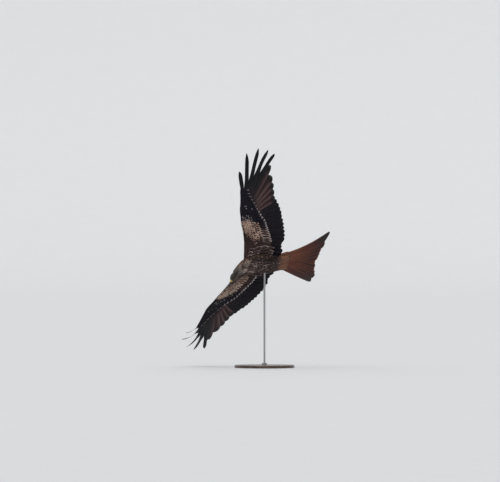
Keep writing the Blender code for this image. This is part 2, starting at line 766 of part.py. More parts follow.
def build():
    clear_scene()
    group = new_collection("red_kite")
    cutters = new_collection("cutters")
    stand(group, cutters)
    body_and_head(group, cutters)
    wings(group, cutters)
    for wing in WING_POSE:
        tail_half(group, wing)


build()
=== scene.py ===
"""Looks of a red kite that soars in a bank on a plain stand: skin, plumage, face, feet and studio.

Lengths are in metres and +Z is up. The bird's own frame has x to the front, y to its left and z to
its back. A wing is laid out flat as a plan of (out, fore): out runs from the shoulder to the tip
and fore towards the bill. Feathers are closed thin blades, made in batches of one pattern.
"""
from math import cos, pi, radians, sin, sqrt

import bmesh
import bpy
import numpy as np
from mathutils import Matrix, Vector
from mathutils.bvhtree import BVHTree
from mathutils.kdtree import KDTree


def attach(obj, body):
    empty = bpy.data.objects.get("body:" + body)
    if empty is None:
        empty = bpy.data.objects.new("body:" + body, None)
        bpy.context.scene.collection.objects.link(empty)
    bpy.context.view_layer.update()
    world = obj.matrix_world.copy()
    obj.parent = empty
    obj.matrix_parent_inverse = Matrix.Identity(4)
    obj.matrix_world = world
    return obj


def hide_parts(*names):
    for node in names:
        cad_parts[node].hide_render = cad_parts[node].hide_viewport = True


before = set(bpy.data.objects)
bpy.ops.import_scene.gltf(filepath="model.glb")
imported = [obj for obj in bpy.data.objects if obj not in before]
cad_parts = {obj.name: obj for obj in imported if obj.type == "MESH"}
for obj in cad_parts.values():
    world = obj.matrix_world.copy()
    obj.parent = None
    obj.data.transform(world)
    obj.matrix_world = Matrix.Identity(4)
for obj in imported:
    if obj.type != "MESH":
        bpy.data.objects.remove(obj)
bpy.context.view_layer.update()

# Attitude of the body in degrees, height of the shoulders and place of the stand's rod.
HEADING = -154.6
CLIMB = -0.7
BANK = 52.6
SHOULDER_HEIGHT = 0.66
ROD_AXIS_X = -0.072

# Wing plan, as in the solids.
LEADING_EDGE = (
    (-0.030, 0.070), (0.000, 0.077), (0.060, 0.088), (0.120, 0.101), (0.190, 0.123),
    (0.257, 0.150), (0.304, 0.162), (0.357, 0.176), (0.420, 0.182), (0.500, 0.197),
)
TRAILING_EDGE = (
    (-0.030, -0.165), (0.000, -0.174), (0.037, -0.182), (0.086, -0.165), (0.118, -0.179),
    (0.182, -0.169), (0.242, -0.151), (0.281, -0.137), (0.310, -0.126), (0.343, -0.115),
    (0.377, -0.095), (0.408, -0.076), (0.461, -0.051), (0.556, -0.016), (0.649, 0.003),
)
FLESH_REAR = ((-0.030, -0.060), (0.316, 0.052), (0.470, 0.168), (0.497, 0.196))
HALF_THICKNESS = (
    (-0.030, 0.0140), (0.000, 0.0135), (0.120, 0.0115), (0.300, 0.0090), (0.400, 0.0048),
    (0.470, 0.0020), (0.500, 0.0014),
)
BLADE = 0.0011
NOSE_PART = 0.22
NOSE_FALL = 0.62
CAMBER = ((-0.030, 0.018), (0.150, 0.018), (0.300, 0.012), (0.420, 0.004), (0.520, 0.0))
SLOTS = {
    5: (0.646, 0.027), 6: (0.609, 0.080), 7: (0.589, 0.120),
    8: (0.561, 0.151), 9: (0.506, 0.174), 10: (0.500, 0.196),
}
FINGER_TIPS = {
    6: (0.748, 0.000), 7: (0.785, 0.056), 8: (0.779, 0.111), 9: (0.724, 0.170), 10: (0.616, 0.213),
}
FINGER_LEAD = 0.0095
FINGER_TRAIL = 0.018
FINGER_SAG = 0.03
WING_POSE = {
    "left": {
        "side": 1, "sweep": 2.4, "arm_rise": 4.6, "hand_rise": 11.8, "incidence": 1.7,
        "washout": -12.3, "hand_twist": 0.0,
        "finger_rise": {6: -0.014, 7: -0.020, 8: 0.017, 9: 0.059, 10: 0.034},
        "finger_turn": {6: 0.0, 7: 0.0, 8: 0.0, 9: 0.0, 10: 0.0},
    },
    "right": {
        "side": -1, "sweep": 8.1, "arm_rise": 1.7, "hand_rise": 13.6, "incidence": -3.2,
        "washout": -9.2, "hand_twist": -7.0,
        "finger_rise": {6: -0.002, 7: 0.034, 8: 0.066, 9: 0.098, 10: 0.055},
        "finger_turn": {6: 0.0, 7: 5.0, 8: 10.0, 9: 24.0, 10: 28.0},
    },
}
HAND_TWIST_START = 0.32
HAND_TWIST_LENGTH = 0.17
SHOULDER_Y = 0.042
SHOULDER_Z = 0.015
BEND_START = 0.17
BEND_LENGTH = 0.16

# Flight feathers of a wing: tips and roots on the plan. A secondary root is (number, out, fore).
SECONDARY_COUNT = 16
SECONDARY_TIPS = (0.409, -0.018)
SECONDARY_ROOTS = ((0, 0.290, 0.100), (5, 0.222, 0.060), (10, 0.128, 0.020), (15, 0.000, -0.060))
SECONDARY_BOW = 0.05
PRIMARY_TIPS = (
    (0.430, -0.060), (0.478, -0.046), (0.527, -0.033), (0.582, -0.012), (0.658, 0.008),
)
PRIMARY_ROOTS = ((0.300, 0.105), (0.400, 0.165))
PRIMARY_BOW = (0.075, 0.065, 0.050, 0.038, 0.030)

# Tips of the tail feathers, innermost first, as places (back, aside) behind the tail's root.
TAIL_TIPS = {
    "left": ((0.305, 0.018), (0.313, 0.055), (0.315, 0.085), (0.317, 0.118), (0.333, 0.160),
             (0.358, 0.216)),
    "right": ((0.306, 0.021), (0.314, 0.062), (0.316, 0.095), (0.329, 0.126), (0.343, 0.160),
              (0.355, 0.207)),
}
TAIL_FAN = 28.5
TAIL_LENGTH = 0.410
TAIL_ROOT = (-0.130, 0.018, 0.020)
TAIL_DROOP = 0.015
TAIL_RISE = {"left": 0.014, "right": 0.052}
TAIL_BOW = {"left": 0.022, "right": 0.002}

# Body sections, tail to neck: centre (x, y, z), half width, height above and depth below it.
BODY = (
    (-0.215, 0.000, 0.018, 0.067, 0.0050, 0.0050), (-0.180, 0.000, 0.017, 0.057, 0.0110, 0.0120),
    (-0.150, 0.000, 0.013, 0.049, 0.0190, 0.0220), (-0.120, 0.000, 0.008, 0.046, 0.0290, 0.0340),
    (-0.080, 0.000, 0.002, 0.054, 0.0400, 0.0470), (-0.030, 0.000, -0.002, 0.060, 0.0460, 0.0540),
    (0.015, -0.002, -0.002, 0.059, 0.0465, 0.0540), (0.050, -0.009, -0.005, 0.050, 0.0410, 0.0460),
    (0.080, -0.023, -0.012, 0.037, 0.0340, 0.0370), (0.104, -0.039, -0.022, 0.030, 0.0290, 0.0310),
    (0.126, -0.054, -0.034, 0.026, 0.0250, 0.0260),
)
SKULL = (0.139, -0.069, -0.044)
HEAD_TURN = -55.0
HEAD_NOD = -22.0
HEAD_TILT = -52.0
HEAD_SECTIONS = (
    (-0.0310, 0.0060, 0.0060, 0.0060), (-0.0280, 0.0130, 0.0125, 0.0130),
    (-0.0200, 0.0195, 0.0185, 0.0200), (-0.0080, 0.0230, 0.0220, 0.0235),
    (0.0040, 0.0235, 0.0225, 0.0235), (0.0140, 0.0210, 0.0195, 0.0210),
    (0.0220, 0.0160, 0.0150, 0.0165), (0.0290, 0.0095, 0.0100, 0.0105),
)
BILL_UPPER = (
    (0.0293, 0.0072, 0.0085, -0.0030), (0.0370, 0.0064, 0.0078, -0.0036),
    (0.0440, 0.0052, 0.0058, -0.0042), (0.0500, 0.0040, 0.0020, -0.0058),
    (0.0540, 0.0028, -0.0030, -0.0100), (0.0555, 0.0012, -0.0090, -0.0135),
)
BILL_LOWER = (
    (0.0293, 0.0068, -0.0031, -0.0098), (0.0370, 0.0058, -0.0037, -0.0092),
    (0.0430, 0.0046, -0.0042, -0.0086), (0.0480, 0.0016, -0.0051, -0.0066),
)
EYE_RADIUS = 0.0062
EYE_PLACE = (0.0075, 0.0172, 0.0045)
TOE_RADIUS = 0.0042
TARSUS = ((-0.1372, 0.0228, -0.0256), (-0.150, 0.020, -0.0200), (-0.163, 0.0175, -0.0160))
TOES = (
    ((-0.160, 0.0175, -0.0160), (-0.178, 0.0235, -0.0140), (-0.192, 0.0255, -0.0100)),
    ((-0.160, 0.0175, -0.0165), (-0.182, 0.0170, -0.0140), (-0.198, 0.0170, -0.0090)),
    ((-0.160, 0.0175, -0.0160), (-0.178, 0.0105, -0.0145), (-0.190, 0.0085, -0.0105)),
)

# Colours of the plumage and bare parts, as linear red, green and blue.
BLACKISH = (0.0085, 0.0070, 0.0120)
UMBER = (0.022, 0.0140, 0.0140)
DARK_BROWN = (0.044, 0.027, 0.025)
BROWN = (0.085, 0.050, 0.040)
BUFF = (0.50, 0.32, 0.24)
PALE_BUFF = (0.66, 0.49, 0.40)
GREYISH = (0.36, 0.32, 0.33)
# The two greys below, of the head and the neck, are darker than the bird's own pale grey: painted shade.
SHADED_ASH = (0.080, 0.073, 0.063)
SHADED_PALE_ASH = (0.27, 0.26, 0.23)


def turn_matrix(*turns):
    """Rotations about named axes, in degrees, applied from the last to the first."""
    product = Matrix.Identity(3)
    for axis, degrees in turns:
        product = product @ Matrix.Rotation(radians(degrees), 3, axis)
    return np.array(product)


ATTITUDE = turn_matrix(("Z", HEADING), ("Y", -CLIMB), ("X", BANK))
BODY_ORIGIN = np.array((
    -ROD_AXIS_X * ATTITUDE[0, 0], -ROD_AXIS_X * ATTITUDE[1, 0], SHOULDER_HEIGHT))
HEAD_AXES = turn_matrix(("Z", HEAD_TURN), ("Y", -HEAD_NOD), ("X", HEAD_TILT))


def place(points):
    """Points of the bird's own frame, put in the world."""
    return np.asarray(points) @ ATTITUDE.T + BODY_ORIGIN


def head_place(points):
    """Points ahead, left and up of the skull's middle, put in the world."""
    return place(np.asarray(SKULL) + np.asarray(points) @ HEAD_AXES.T)


def smooth_step(value):
    value = np.clip(value, 0.0, 1.0)
    return value * value * (3 - 2 * value)


def mix(a, b, part):
    """Values or colours between a and b; part may be an array."""
    a, b = np.asarray(a, float), np.asarray(b, float)
    part = np.asarray(part, float)
    if a.ndim and part.ndim and a.shape[-1] == 3:
        part = part[..., None]
    return a + (b - a) * part


def through(table, x):
    """Heights at x of the smooth curve through a table of (x, y) points."""
    xs, ys = np.array(table, float).T
    x = np.asarray(x, float)
    last = len(xs) - 1
    start = np.clip(np.searchsorted(xs, x, "left") - 1, 0, last - 1)
    before = np.maximum(start - 1, 0)
    end = start + 1
    after = np.minimum(start + 2, last)
    width = xs[end] - xs[start]
    slope_start = (ys[end] - ys[before]) / (xs[end] - xs[before]) * width
    slope_end = (ys[after] - ys[start]) / (xs[after] - xs[start]) * width
    t = np.clip((x - xs[start]) / width, 0.0, 1.0)
    return (
        (2 * t**3 - 3 * t**2 + 1) * ys[start] + (t**3 - 2 * t**2 + t) * slope_start
        + (3 * t**2 - 2 * t**3) * ys[end] + (t**3 - t**2) * slope_end
    )


def camber(out, fore):
    """Rise of the wing's middle surface over the straight line between its edges."""
    front, rear = through(LEADING_EDGE, out), through(TRAILING_EDGE, out)
    across = np.clip((front - fore) / (front - rear), 0.0, 1.0)
    return through(CAMBER, np.minimum(out, 0.52)) * np.sin(pi * across**0.75)


def wing_place(wing, plan, rise):
    """Folds points (out, fore) of the flat plan, raised by rise, into the wing as it is held."""
    pose = WING_POSE[wing]
    out, fore = plan[..., 0], plan[..., 1]
    lift = camber(out, fore) + rise
    sweep = radians(pose["sweep"])
    far = out * cos(sweep) - fore * sin(sweep)
    ahead = out * sin(sweep) + fore * cos(sweep)
    t = (far - BEND_START) / BEND_LENGTH
    bent = np.clip(t, 0.0, 1.0)
    past_bend = np.where(t > 1, BEND_LENGTH * (t - 0.5), BEND_LENGTH * (bent**3 - bent**4 / 2))
    arm, hand = radians(pose["arm_rise"]), radians(pose["hand_rise"])
    span = far * cos(arm) + past_bend * (cos(hand) - cos(arm))
    height = far * sin(arm) + past_bend * (sin(hand) - sin(arm))
    past_wrist = smooth_step((far - HAND_TWIST_START) / HAND_TWIST_LENGTH)
    twist = np.radians(
        pose["incidence"] + pose["washout"] * far + pose["hand_twist"] * past_wrist)
    return place(np.stack((
        ahead * np.cos(twist), pose["side"] * (SHOULDER_Y + span),
        SHOULDER_Z + height + ahead * np.sin(twist) + lift), -1))


def wing_half_height(plan):
    """Half thickness of the wing: its flesh, or the bare flight feathers behind that."""
    out, fore = plan[..., 0], plan[..., 1]
    front = through(LEADING_EDGE, out)
    rear = np.interp(out, *zip(*FLESH_REAR))
    part = np.clip((front - fore) / np.maximum(front - rear, 0.001), 0.0, 1.0)
    nose = np.sqrt(np.maximum(0.0, 1 - (1 - np.minimum(part / NOSE_PART, 1.0)) ** 2))
    fall = np.exp(-((np.maximum(part - NOSE_PART, 0.0) / NOSE_FALL) ** 2))
    full = through(HALF_THICKNESS, out)
    return np.where(part < NOSE_PART, full * nose, BLADE + (full - BLADE) * fall)


# Rows along a small feather, from its root to its tip, and its half width at each row.
SMALL_ROWS = np.array((0.0, 0.2, 0.42, 0.62, 0.78, 0.89, 0.96, 1.0))
ROUND_SHAPE = np.array((0.35, 0.72, 0.95, 1.0, 0.90, 0.68, 0.40, 0.12))
LANCE_SHAPE = np.array((0.35, 0.80, 1.0, 0.92, 0.70, 0.44, 0.22, 0.06))
BLADE_ROWS = np.concatenate((
    np.linspace(0.0, 0.66, 9), 0.70 + 0.30 * np.sin(np.linspace(0.0, 1.0, 15) * pi / 2)))


class Plumage:
    """Feathers of one piece. A feather is a row of rings from its root to its tip.

    A ring runs from the front edge over the top to the rear edge and back below, so that its point
    at index k on the top lies over the one at index count - k.
    """

    def __init__(self, name):
        self.name = name
        self.count = 0
        self.points = []
        self.corners = []
        self.sizes = []
        self.bake = []
        self.values = {key: [] for key in ("core", "edge", "brink", "rim", "across", "along",
                                           "streak", "bars")}

    def add(self, rings, across, along, brink, patches, core, edge, rim=0.0, streak=0.0, bars=0.0):
        """Adds a batch: rings as (feather, row, point, xyz), with values that spread over them."""
        feathers, rows, around = rings.shape[:3]
        quads, triangles = blade_faces(rows, around)
        outward = enclosed_volume(rings, quads) > 0
        if not outward:
            quads, triangles = quads[:, ::-1], triangles[:, ::-1]
        starts = self.count + np.arange(feathers)[:, None, None] * rows * around
        for faces in (quads, triangles):
            row, turn = faces // (around + 1), faces % (around + 1)
            self.corners.append((starts + row * around + turn % around).ravel())
            self.sizes.append(np.full(feathers * len(faces), faces.shape[1]))
            low, span = patches[:, None, None, :2], patches[:, None, None, 2:]
            share = np.stack((row / (rows - 1), turn / around), -1)
            self.bake.append((low + span * share[None]).reshape(-1, 2))
        self.points.append(rings.reshape(-1, 3))
        self.count += feathers * rows * around
        grid = (feathers, rows, around)
        given = {"core": core, "edge": edge, "brink": brink, "rim": rim, "across": across,
                 "along": along, "streak": streak, "bars": bars}
        for key, value in given.items():
            value = np.asarray(value, float)
            shape = grid + (3,) if key in ("core", "edge") else grid
            if value.ndim and len(value) == feathers and value.ndim < len(shape):
                depth = value.ndim - (1 if key in ("core", "edge") else 0)
                value = value.reshape(value.shape[:depth] + (1,) * (3 - depth) + value.shape[depth:])
            self.values[key].append(np.broadcast_to(value, shape).reshape(-1, *shape[3:]))

    def colours(self):
        """Places and colours of every feather point, for the skin below."""
        return np.concatenate(self.points), np.concatenate(self.values["core"])

    def build(self, finish, slot, *nodes):
        """Makes the piece, which stands for the named nodes."""
        mesh = bpy.data.meshes.new(self.name)
        corners, sizes = np.concatenate(self.corners), np.concatenate(self.sizes)
        mesh.vertices.add(self.count)
        mesh.vertices.foreach_set("co", np.concatenate(self.points).ravel())
        mesh.loops.add(len(corners))
        mesh.loops.foreach_set("vertex_index", corners)
        mesh.polygons.add(len(sizes))
        mesh.polygons.foreach_set("loop_start", np.cumsum(sizes) - sizes)
        mesh.uv_layers.new(name="OFBake").uv.foreach_set("vector", np.concatenate(self.bake).ravel())
        for key, parts in self.values.items():
            value = np.concatenate(parts)
            if key in ("core", "edge"):
                value = np.column_stack((value, np.ones(len(value))))
                mesh.attributes.new(key, "FLOAT_COLOR", "POINT").data.foreach_set(
                    "color", value.ravel())
            else:
                mesh.attributes.new(key, "FLOAT", "POINT").data.foreach_set("value", value)
        mesh.update(calc_edges=True)
        mesh.shade_smooth()
        return finished_piece(self.name, mesh, finish, nodes)


def finished_piece(name, mesh, finish, nodes=()):
    """Links a mesh as a piece of the bird, with its material and the nodes it replaces."""
    piece = bpy.data.objects.new(name, mesh)
    mesh.materials.clear()
    mesh.materials.append(finish)
    bpy.context.scene.collection.objects.link(piece)
    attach(piece, "root")
    if nodes:
        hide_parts(*nodes)
    return piece


def blade_faces(rows, around):
    """Quads and triangles that close a feather. A corner is row * (around + 1) + turn."""
    row, turn = np.meshgrid(np.arange(rows - 1), np.arange(around), indexing="ij")
    near = (row * (around + 1) + turn).ravel()
    far = near + around + 1
    quads = [np.stack((near, near + 1, far + 1, far), 1)]
    columns = around // 2
    triangles = []
    for first, ways in ((0, -1), ((rows - 1) * (around + 1), 1)):
        end_row = np.array((
            (first, first + 1, first + around - 1),
            (first + columns - 1, first + columns, first + columns + 1)))
        triangles.append(end_row[:, ::ways])
        for k in range(1, columns - 1):
            cap = np.array([[first + k, first + k + 1, first + around - k - 1, first + around - k]])
            quads.append(cap[:, ::ways])
    return np.concatenate(quads), np.concatenate(triangles)


def enclosed_volume(rings, quads):
    """Volume of the first feather of a batch, negative when its faces point inwards."""
    rows, around = rings.shape[1:3]
    middle = rings[0].mean((0, 1))
    row, turn = quads // (around + 1), quads % (around + 1) % around
    a, b, c, d = np.moveaxis(rings[0][row, turn] - middle, 1, 0)
    return np.sum(a * np.cross(b, c)) + np.sum(a * np.cross(c, d))


def patches_at(places, size=0.003):
    """Small squares of the unwrap, one for each feather, at its root's place from 0 to 1."""
    margin = 0.02
    corner = margin + np.clip(places, 0.0, 1.0) * (1 - 2 * margin)
    return np.column_stack((corner, np.full_like(corner, size)))


def strips(count, columns=1):
    """Roomy patches side by side, one for each large feather."""
    rows = -(-count // columns)
    k = np.arange(count)
    gap = 0.004
    width, height = 1 / columns, 1 / rows
    return np.column_stack((
        (k % columns) * width + gap, (k // columns) * height + gap,
        np.full(count, width - 2 * gap), np.full(count, height - 2 * gap)))


def small_feather(half, length, shape, rows=SMALL_ROWS):
    """Signed distance from the shaft, from the root and from the outline, at (feather, row, point)."""
    half, length = np.asarray(half, float)[:, None], np.asarray(length, float)[:, None]
    width = half * shape
    reach = (1 - rows) * length
    nothing = np.zeros_like(width)
    inner = np.minimum(width, reach)
    across = np.stack((width, nothing, -width, nothing), -1)
    brink = np.stack((nothing, inner, nothing, inner), -1)
    along = np.repeat((length * rows)[..., None], 4, -1)
    return across, along, brink


def lay_on_wing(wing, face, plumage, roots, angles, lengths, halves, looks,
                shape=ROUND_SHAPE, lift=(-0.0006, 0.0010), bend=0.0, thickness=0.0004):
    """Lays small feathers on the upper (face 1) or under side (face -1) of a wing."""
    across, along, brink = small_feather(halves, lengths, shape)
    aim = np.stack((np.cos(angles), np.sin(angles)), -1)[:, None, None, :]
    ahead = np.stack((-np.sin(angles), np.cos(angles)), -1)[:, None, None, :]
    part = along / np.asarray(lengths)[:, None, None]
    sway = np.broadcast_to(bend, angles.shape)[:, None, None] * part**2 * np.asarray(lengths)[:, None, None]
    plan = roots[:, None, None, :] + aim * along[..., None] + ahead * (across + sway)[..., None]
    crown = 0.10 * np.asarray(halves)[:, None] * shape
    top = crown + thickness / 2
    bottom = crown - thickness / 2
    raised = np.stack((np.zeros_like(top), top, np.zeros_like(top), bottom), -1)
    rise = wing_half_height(plan) + mix(lift[0], lift[1], part**0.8) + raised
    rings = wing_place(wing, plan, face * rise)
    unwrap = np.stack(((roots[:, 0] + 0.06) / 0.72, (roots[:, 1] + 0.20) / 0.43), -1)
    plumage.add(rings, across, along, brink, patches_at(unwrap), **looks)


def vane_rings(bend, front, rear, shaft, rise_front, rise_rear, thickness):
    """Rings of large feathers between plan edges (feather, row, 2), placed by bend(plan, rise)."""
    columns = np.array((0.0, shaft * 0.5, shaft - 0.035, shaft, shaft + 0.035,
                        mix(shaft, 1.0, 0.33), mix(shaft, 1.0, 0.68), 1.0))
    count = len(columns)
    body = np.array((0.0, 1.0, 1.0, 1.0, 1.0, 1.0, 1.0, 0.0)) * thickness / 2
    ridge = np.zeros(count)
    ridge[3] = 1.0
    part = np.concatenate((columns, columns[-2:0:-1]))
    over = np.concatenate((body, -body[-2:0:-1]))
    ridges = np.concatenate((ridge, -ridge[-2:0:-1]))
    plan = front[:, :, None, :] + (rear - front)[:, :, None, :] * part[:, None]
    stiff = 0.0009 * (1 - 0.85 * np.linspace(0, 1, front.shape[1]))[None, :, None]
    rise = rise_front[..., None] + (rise_rear - rise_front)[..., None] * part
    rise = rise + over + ridges * stiff
    width = np.linalg.norm(rear - front, axis=-1)[..., None]
    across = (shaft - part) * width
    edge_gap = np.minimum(part, 1 - part) * width
    steps = np.linalg.norm(np.diff((front + rear) / 2, axis=1), axis=-1)
    travelled = np.concatenate((np.zeros((len(front), 1)), np.cumsum(steps, 1)), 1)
    along = np.broadcast_to(travelled[..., None], across.shape)
    brink = np.minimum(edge_gap, along[:, -1:, :] - along)
    return bend(plan, rise), across, along, brink


def square_to(along):
    """Unit directions square to plan directions, towards the front edge."""
    ahead = np.stack((-along[..., 1], along[..., 0]), -1)
    return ahead / np.linalg.norm(ahead, axis=-1, keepdims=True)


def round_blades(roots, tips, front_half, rear_half, front_round, rear_round, bow, bluntness=2.0):
    """Front and rear plan edges of bowed feathers, with tips from pointed (1) to rounded (2) behind."""
    along = (tips - roots)[:, None, :]
    length = np.linalg.norm(along, axis=-1)
    t = BLADE_ROWS[None, :, None]
    bow = np.broadcast_to(bow, len(roots))[:, None, None]
    square = square_to(along) * length[..., None]
    centre = roots[:, None, :] + along * t + square * bow * 4 * t * (1 - t)
    ahead = square_to(along + square * bow * 4 * (1 - 2 * t))
    t = BLADE_ROWS
    left = (1 - t)[None, :] * length
    swell = 0.5 + 0.5 * smooth_step(t / 0.3)

    def reach(half, rounding, power):
        half, rounding, power = (
            np.broadcast_to(value, len(roots))[:, None] for value in (half, rounding, power))
        rounded = (1 - (1 - np.clip(left / rounding, 0.0, 1.0)) ** power) ** (1 / power)
        return np.maximum(half * rounded * swell, 0.0008)[..., None]

    front = centre + ahead * reach(front_half, front_round, 2.0)
    rear = centre - ahead * reach(rear_half, rear_round, bluntness)
    return front, rear


def secondary_edges(rng):
    outs = np.linspace(*SECONDARY_TIPS, SECONDARY_COUNT)
    tips = np.stack((outs, through(TRAILING_EDGE, outs)), -1)
    tips += rng.normal(0, 0.0009, tips.shape)
    numbers, root_out, root_fore = np.array(SECONDARY_ROOTS).T
    k = np.arange(SECONDARY_COUNT)
    roots = np.stack((np.interp(k, numbers, root_out), np.interp(k, numbers, root_fore)), -1)
    return round_blades(roots, tips, 0.016, 0.036, 0.040, 0.020, SECONDARY_BOW)


def primary_roots():
    first, last = np.array(PRIMARY_ROOTS)
    return first + (last - first) * np.linspace(0, 1, 10)[:, None]


def inner_primary_edges(rng):
    tips = np.array(PRIMARY_TIPS)
    rear_half = np.array((0.036, 0.035, 0.033, 0.036, 0.030))
    rear_round = np.array((0.035, 0.040, 0.048, 0.050, 0.110))
    front_half = np.array((0.018, 0.019, 0.022, 0.026, 0.022))
    front_round = np.array((0.012, 0.012, 0.012, 0.012, 0.020))
    return round_blades(
        primary_roots()[:5], tips, front_half, rear_half, front_round, rear_round, PRIMARY_BOW)


def finger_edges(wing, number):
    """Plan edges and rises of an outer primary: wide as far as its slots, then a narrow finger."""
    pose = WING_POSE[wing]
    turn = radians(pose["finger_turn"][number])
    front_slot, rear_slot = np.array(SLOTS[number]), np.array(SLOTS[number - 1])
    start = (front_slot + rear_slot) / 2
    root = primary_roots()[number - 1]
    base = np.linspace(0, 1, 8, endpoint=False)[:, None]
    ahead = square_to(start - root)
    front = [root + ahead * 0.006 + (front_slot - root - ahead * 0.006) * base]
    rear = [root - ahead * 0.014 + (rear_slot - root + ahead * 0.014) * base]
    s = np.linspace(0, 1, len(BLADE_ROWS) - 8)[:, None]
    s = 1 - (1 - s) ** 1.25
    along = np.array(FINGER_TIPS[number]) - start
    ahead = square_to(along)
    middle = start + along * s + ahead * (4 * s * (1 - s) * FINGER_SAG * np.linalg.norm(along))
    taper = np.maximum(0.06, (1 - np.clip((s - 0.70) / 0.30, 0, 1) ** 2) ** 0.7)
    settle = smooth_step(s / 0.35)
    front.append(mix(front_slot + along * s, middle + ahead * FINGER_LEAD * taper * cos(turn), settle))
    rear.append(mix(rear_slot + along * s, middle - ahead * FINGER_TRAIL * taper * cos(turn), settle))
    lifted = pose["finger_rise"][number] * s**2
    tilt = sin(turn) * settle * taper
    rise_front = np.concatenate((base * 0, lifted - FINGER_LEAD * tilt))[:, 0]
    rise_rear = np.concatenate((base * 0, lifted + FINGER_TRAIL * tilt))[:, 0]
    return np.concatenate(front), np.concatenate(rear), rise_front, rise_rear


OVERLAP_TILT = 0.0011
TAIL_TILT = 0.0007
FLIGHT_THICKNESS = 0.0007
SHAFT_PART = {"secondary": 0.28, "primary": 0.27, "finger": 0.33, "tail": 0.27}


def two_sided(under, upper, around):
    """Colours for the rings of a blade: its top, its underside, and the mean along both edges."""
    columns = around // 2 + 1
    over = np.zeros(around)
    over[1:columns - 1] = 1.0
    over[[0, columns - 1]] = 0.5
    return mix(under[..., None, :], upper[..., None, :], over)


def secondary_looks(rows, feathers, around, rng):
    t = np.broadcast_to(rows, (feathers, len(rows)))
    vary = rng.uniform(0.85, 1.15, (feathers, 1, 1))
    under = mix(UMBER, BLACKISH, smooth_step((t - 0.2) / 0.3)) * vary
    under = mix(under, (0.020, 0.019, 0.021), 0.7 * smooth_step((t - 0.93) / 0.06))
    upper = mix((0.050, 0.034, 0.027), (0.030, 0.023, 0.022), smooth_step((t - 0.3) / 0.5)) * vary
    return {"core": two_sided(under, upper, around), "edge": (0.026, 0.024, 0.026),
            "rim": 0.0010, "streak": 0.8, "bars": 0.30}


def inner_primary_looks(rows, feathers, around, across_part, rng):
    """Reddish brown with a paler stripe along the rear vane, dark towards the tip."""
    t = np.broadcast_to(rows[None, :, None], (feathers, len(rows), around))
    stripe = smooth_step((across_part - 0.60) / 0.34) * np.ones_like(t)
    strength = np.array((0.9, 1.0, 1.0, 0.95, 0.6))[:feathers, None, None]
    shown = strength * smooth_step((t - 0.25) / 0.15) * (1 - smooth_step((t - 0.80) / 0.12))
    under = mix(np.array((0.016, 0.012, 0.014)), (0.190, 0.112, 0.108), stripe * shown)
    under = mix(under, (0.030, 0.014, 0.016), 0.9 * shown * (1 - stripe))
    under = mix(under, (0.060, 0.056, 0.052), 0.7 * smooth_step((t - 0.95) / 0.02))
    upper = np.broadcast_to((0.034, 0.026, 0.024), under.shape)
    over = np.zeros(around)
    over[1:around // 2] = 1.0
    return {"core": mix(under, upper, over), "edge": (0.050, 0.042, 0.040),
            "rim": 0.0010, "streak": 0.7, "bars": 0.15}


def finger_looks(rows, feathers, around):
    t = np.broadcast_to(rows, (feathers, len(rows)))
    under = mix((0.019, 0.016, 0.018), (0.0095, 0.0100, 0.0110), smooth_step((t - 0.3) / 0.3))
    upper = mix((0.034, 0.027, 0.025), (0.016, 0.015, 0.016), smooth_step((t - 0.3) / 0.4))
    return {"core": two_sided(under, upper, around), "edge": (0.020, 0.020, 0.022),
            "rim": 0.0006, "streak": 0.5, "bars": 0.45}


def wing_bend(wing):
    return lambda plan, rise: wing_place(wing, plan, rise)


def flight_feathers(wing, finish):
    """Primaries and secondaries of one wing, as two pieces."""
    rng = np.random.default_rng(21 + len(wing))
    prefix = "wing_" + wing
    bend = wing_bend(wing)
    rows = BLADE_ROWS
    inner = Plumage("feathers_" + wing + "_secondaries")
    front, rear = secondary_edges(rng)
    level = np.ones(front.shape[:2])
    rings, across, along, brink = vane_rings(
        bend, front, rear, SHAFT_PART["secondary"], level * OVERLAP_TILT, -level * OVERLAP_TILT,
        FLIGHT_THICKNESS)
    looks = secondary_looks(rows, len(front), rings.shape[2], rng)
    inner.add(rings, across, along, brink, strips(SECONDARY_COUNT), **looks)
    inner.build(finish, "plumage_dark", prefix + "_secondaries")

    outer = Plumage("feathers_" + wing + "_primaries")
    patches = strips(10)
    front, rear = inner_primary_edges(rng)
    level = np.ones(front.shape[:2])
    rings, across, along, brink = vane_rings(
        bend, front, rear, SHAFT_PART["primary"], level * OVERLAP_TILT, -level * OVERLAP_TILT,
        FLIGHT_THICKNESS)
    width = np.linalg.norm(rear - front, axis=-1)[..., None]
    looks = inner_primary_looks(
        rows, 5, rings.shape[2], SHAFT_PART["primary"] - across / width, rng)
    outer.add(rings, across, along, brink, patches[:5], **looks)
    edges = [finger_edges(wing, number) for number in sorted(FINGER_TIPS)]
    front, rear, rise_front, rise_rear = (np.array(part) for part in zip(*edges))
    hold = np.concatenate((np.ones(8), 1 - smooth_step(np.linspace(0, 3, len(rows) - 8))))
    rings, across, along, brink = vane_rings(
        bend, front, rear, SHAFT_PART["finger"], rise_front + hold * OVERLAP_TILT,
        rise_rear - hold * OVERLAP_TILT, FLIGHT_THICKNESS)
    outer.add(rings, across, along, brink, patches[5:], **finger_looks(rows, 5, rings.shape[2]))
    fingers = [prefix + "_primary_" + str(number) for number in FINGER_TIPS]
    outer.build(finish, "plumage_dark", prefix + "_primaries", *fingers)
    return inner, outer


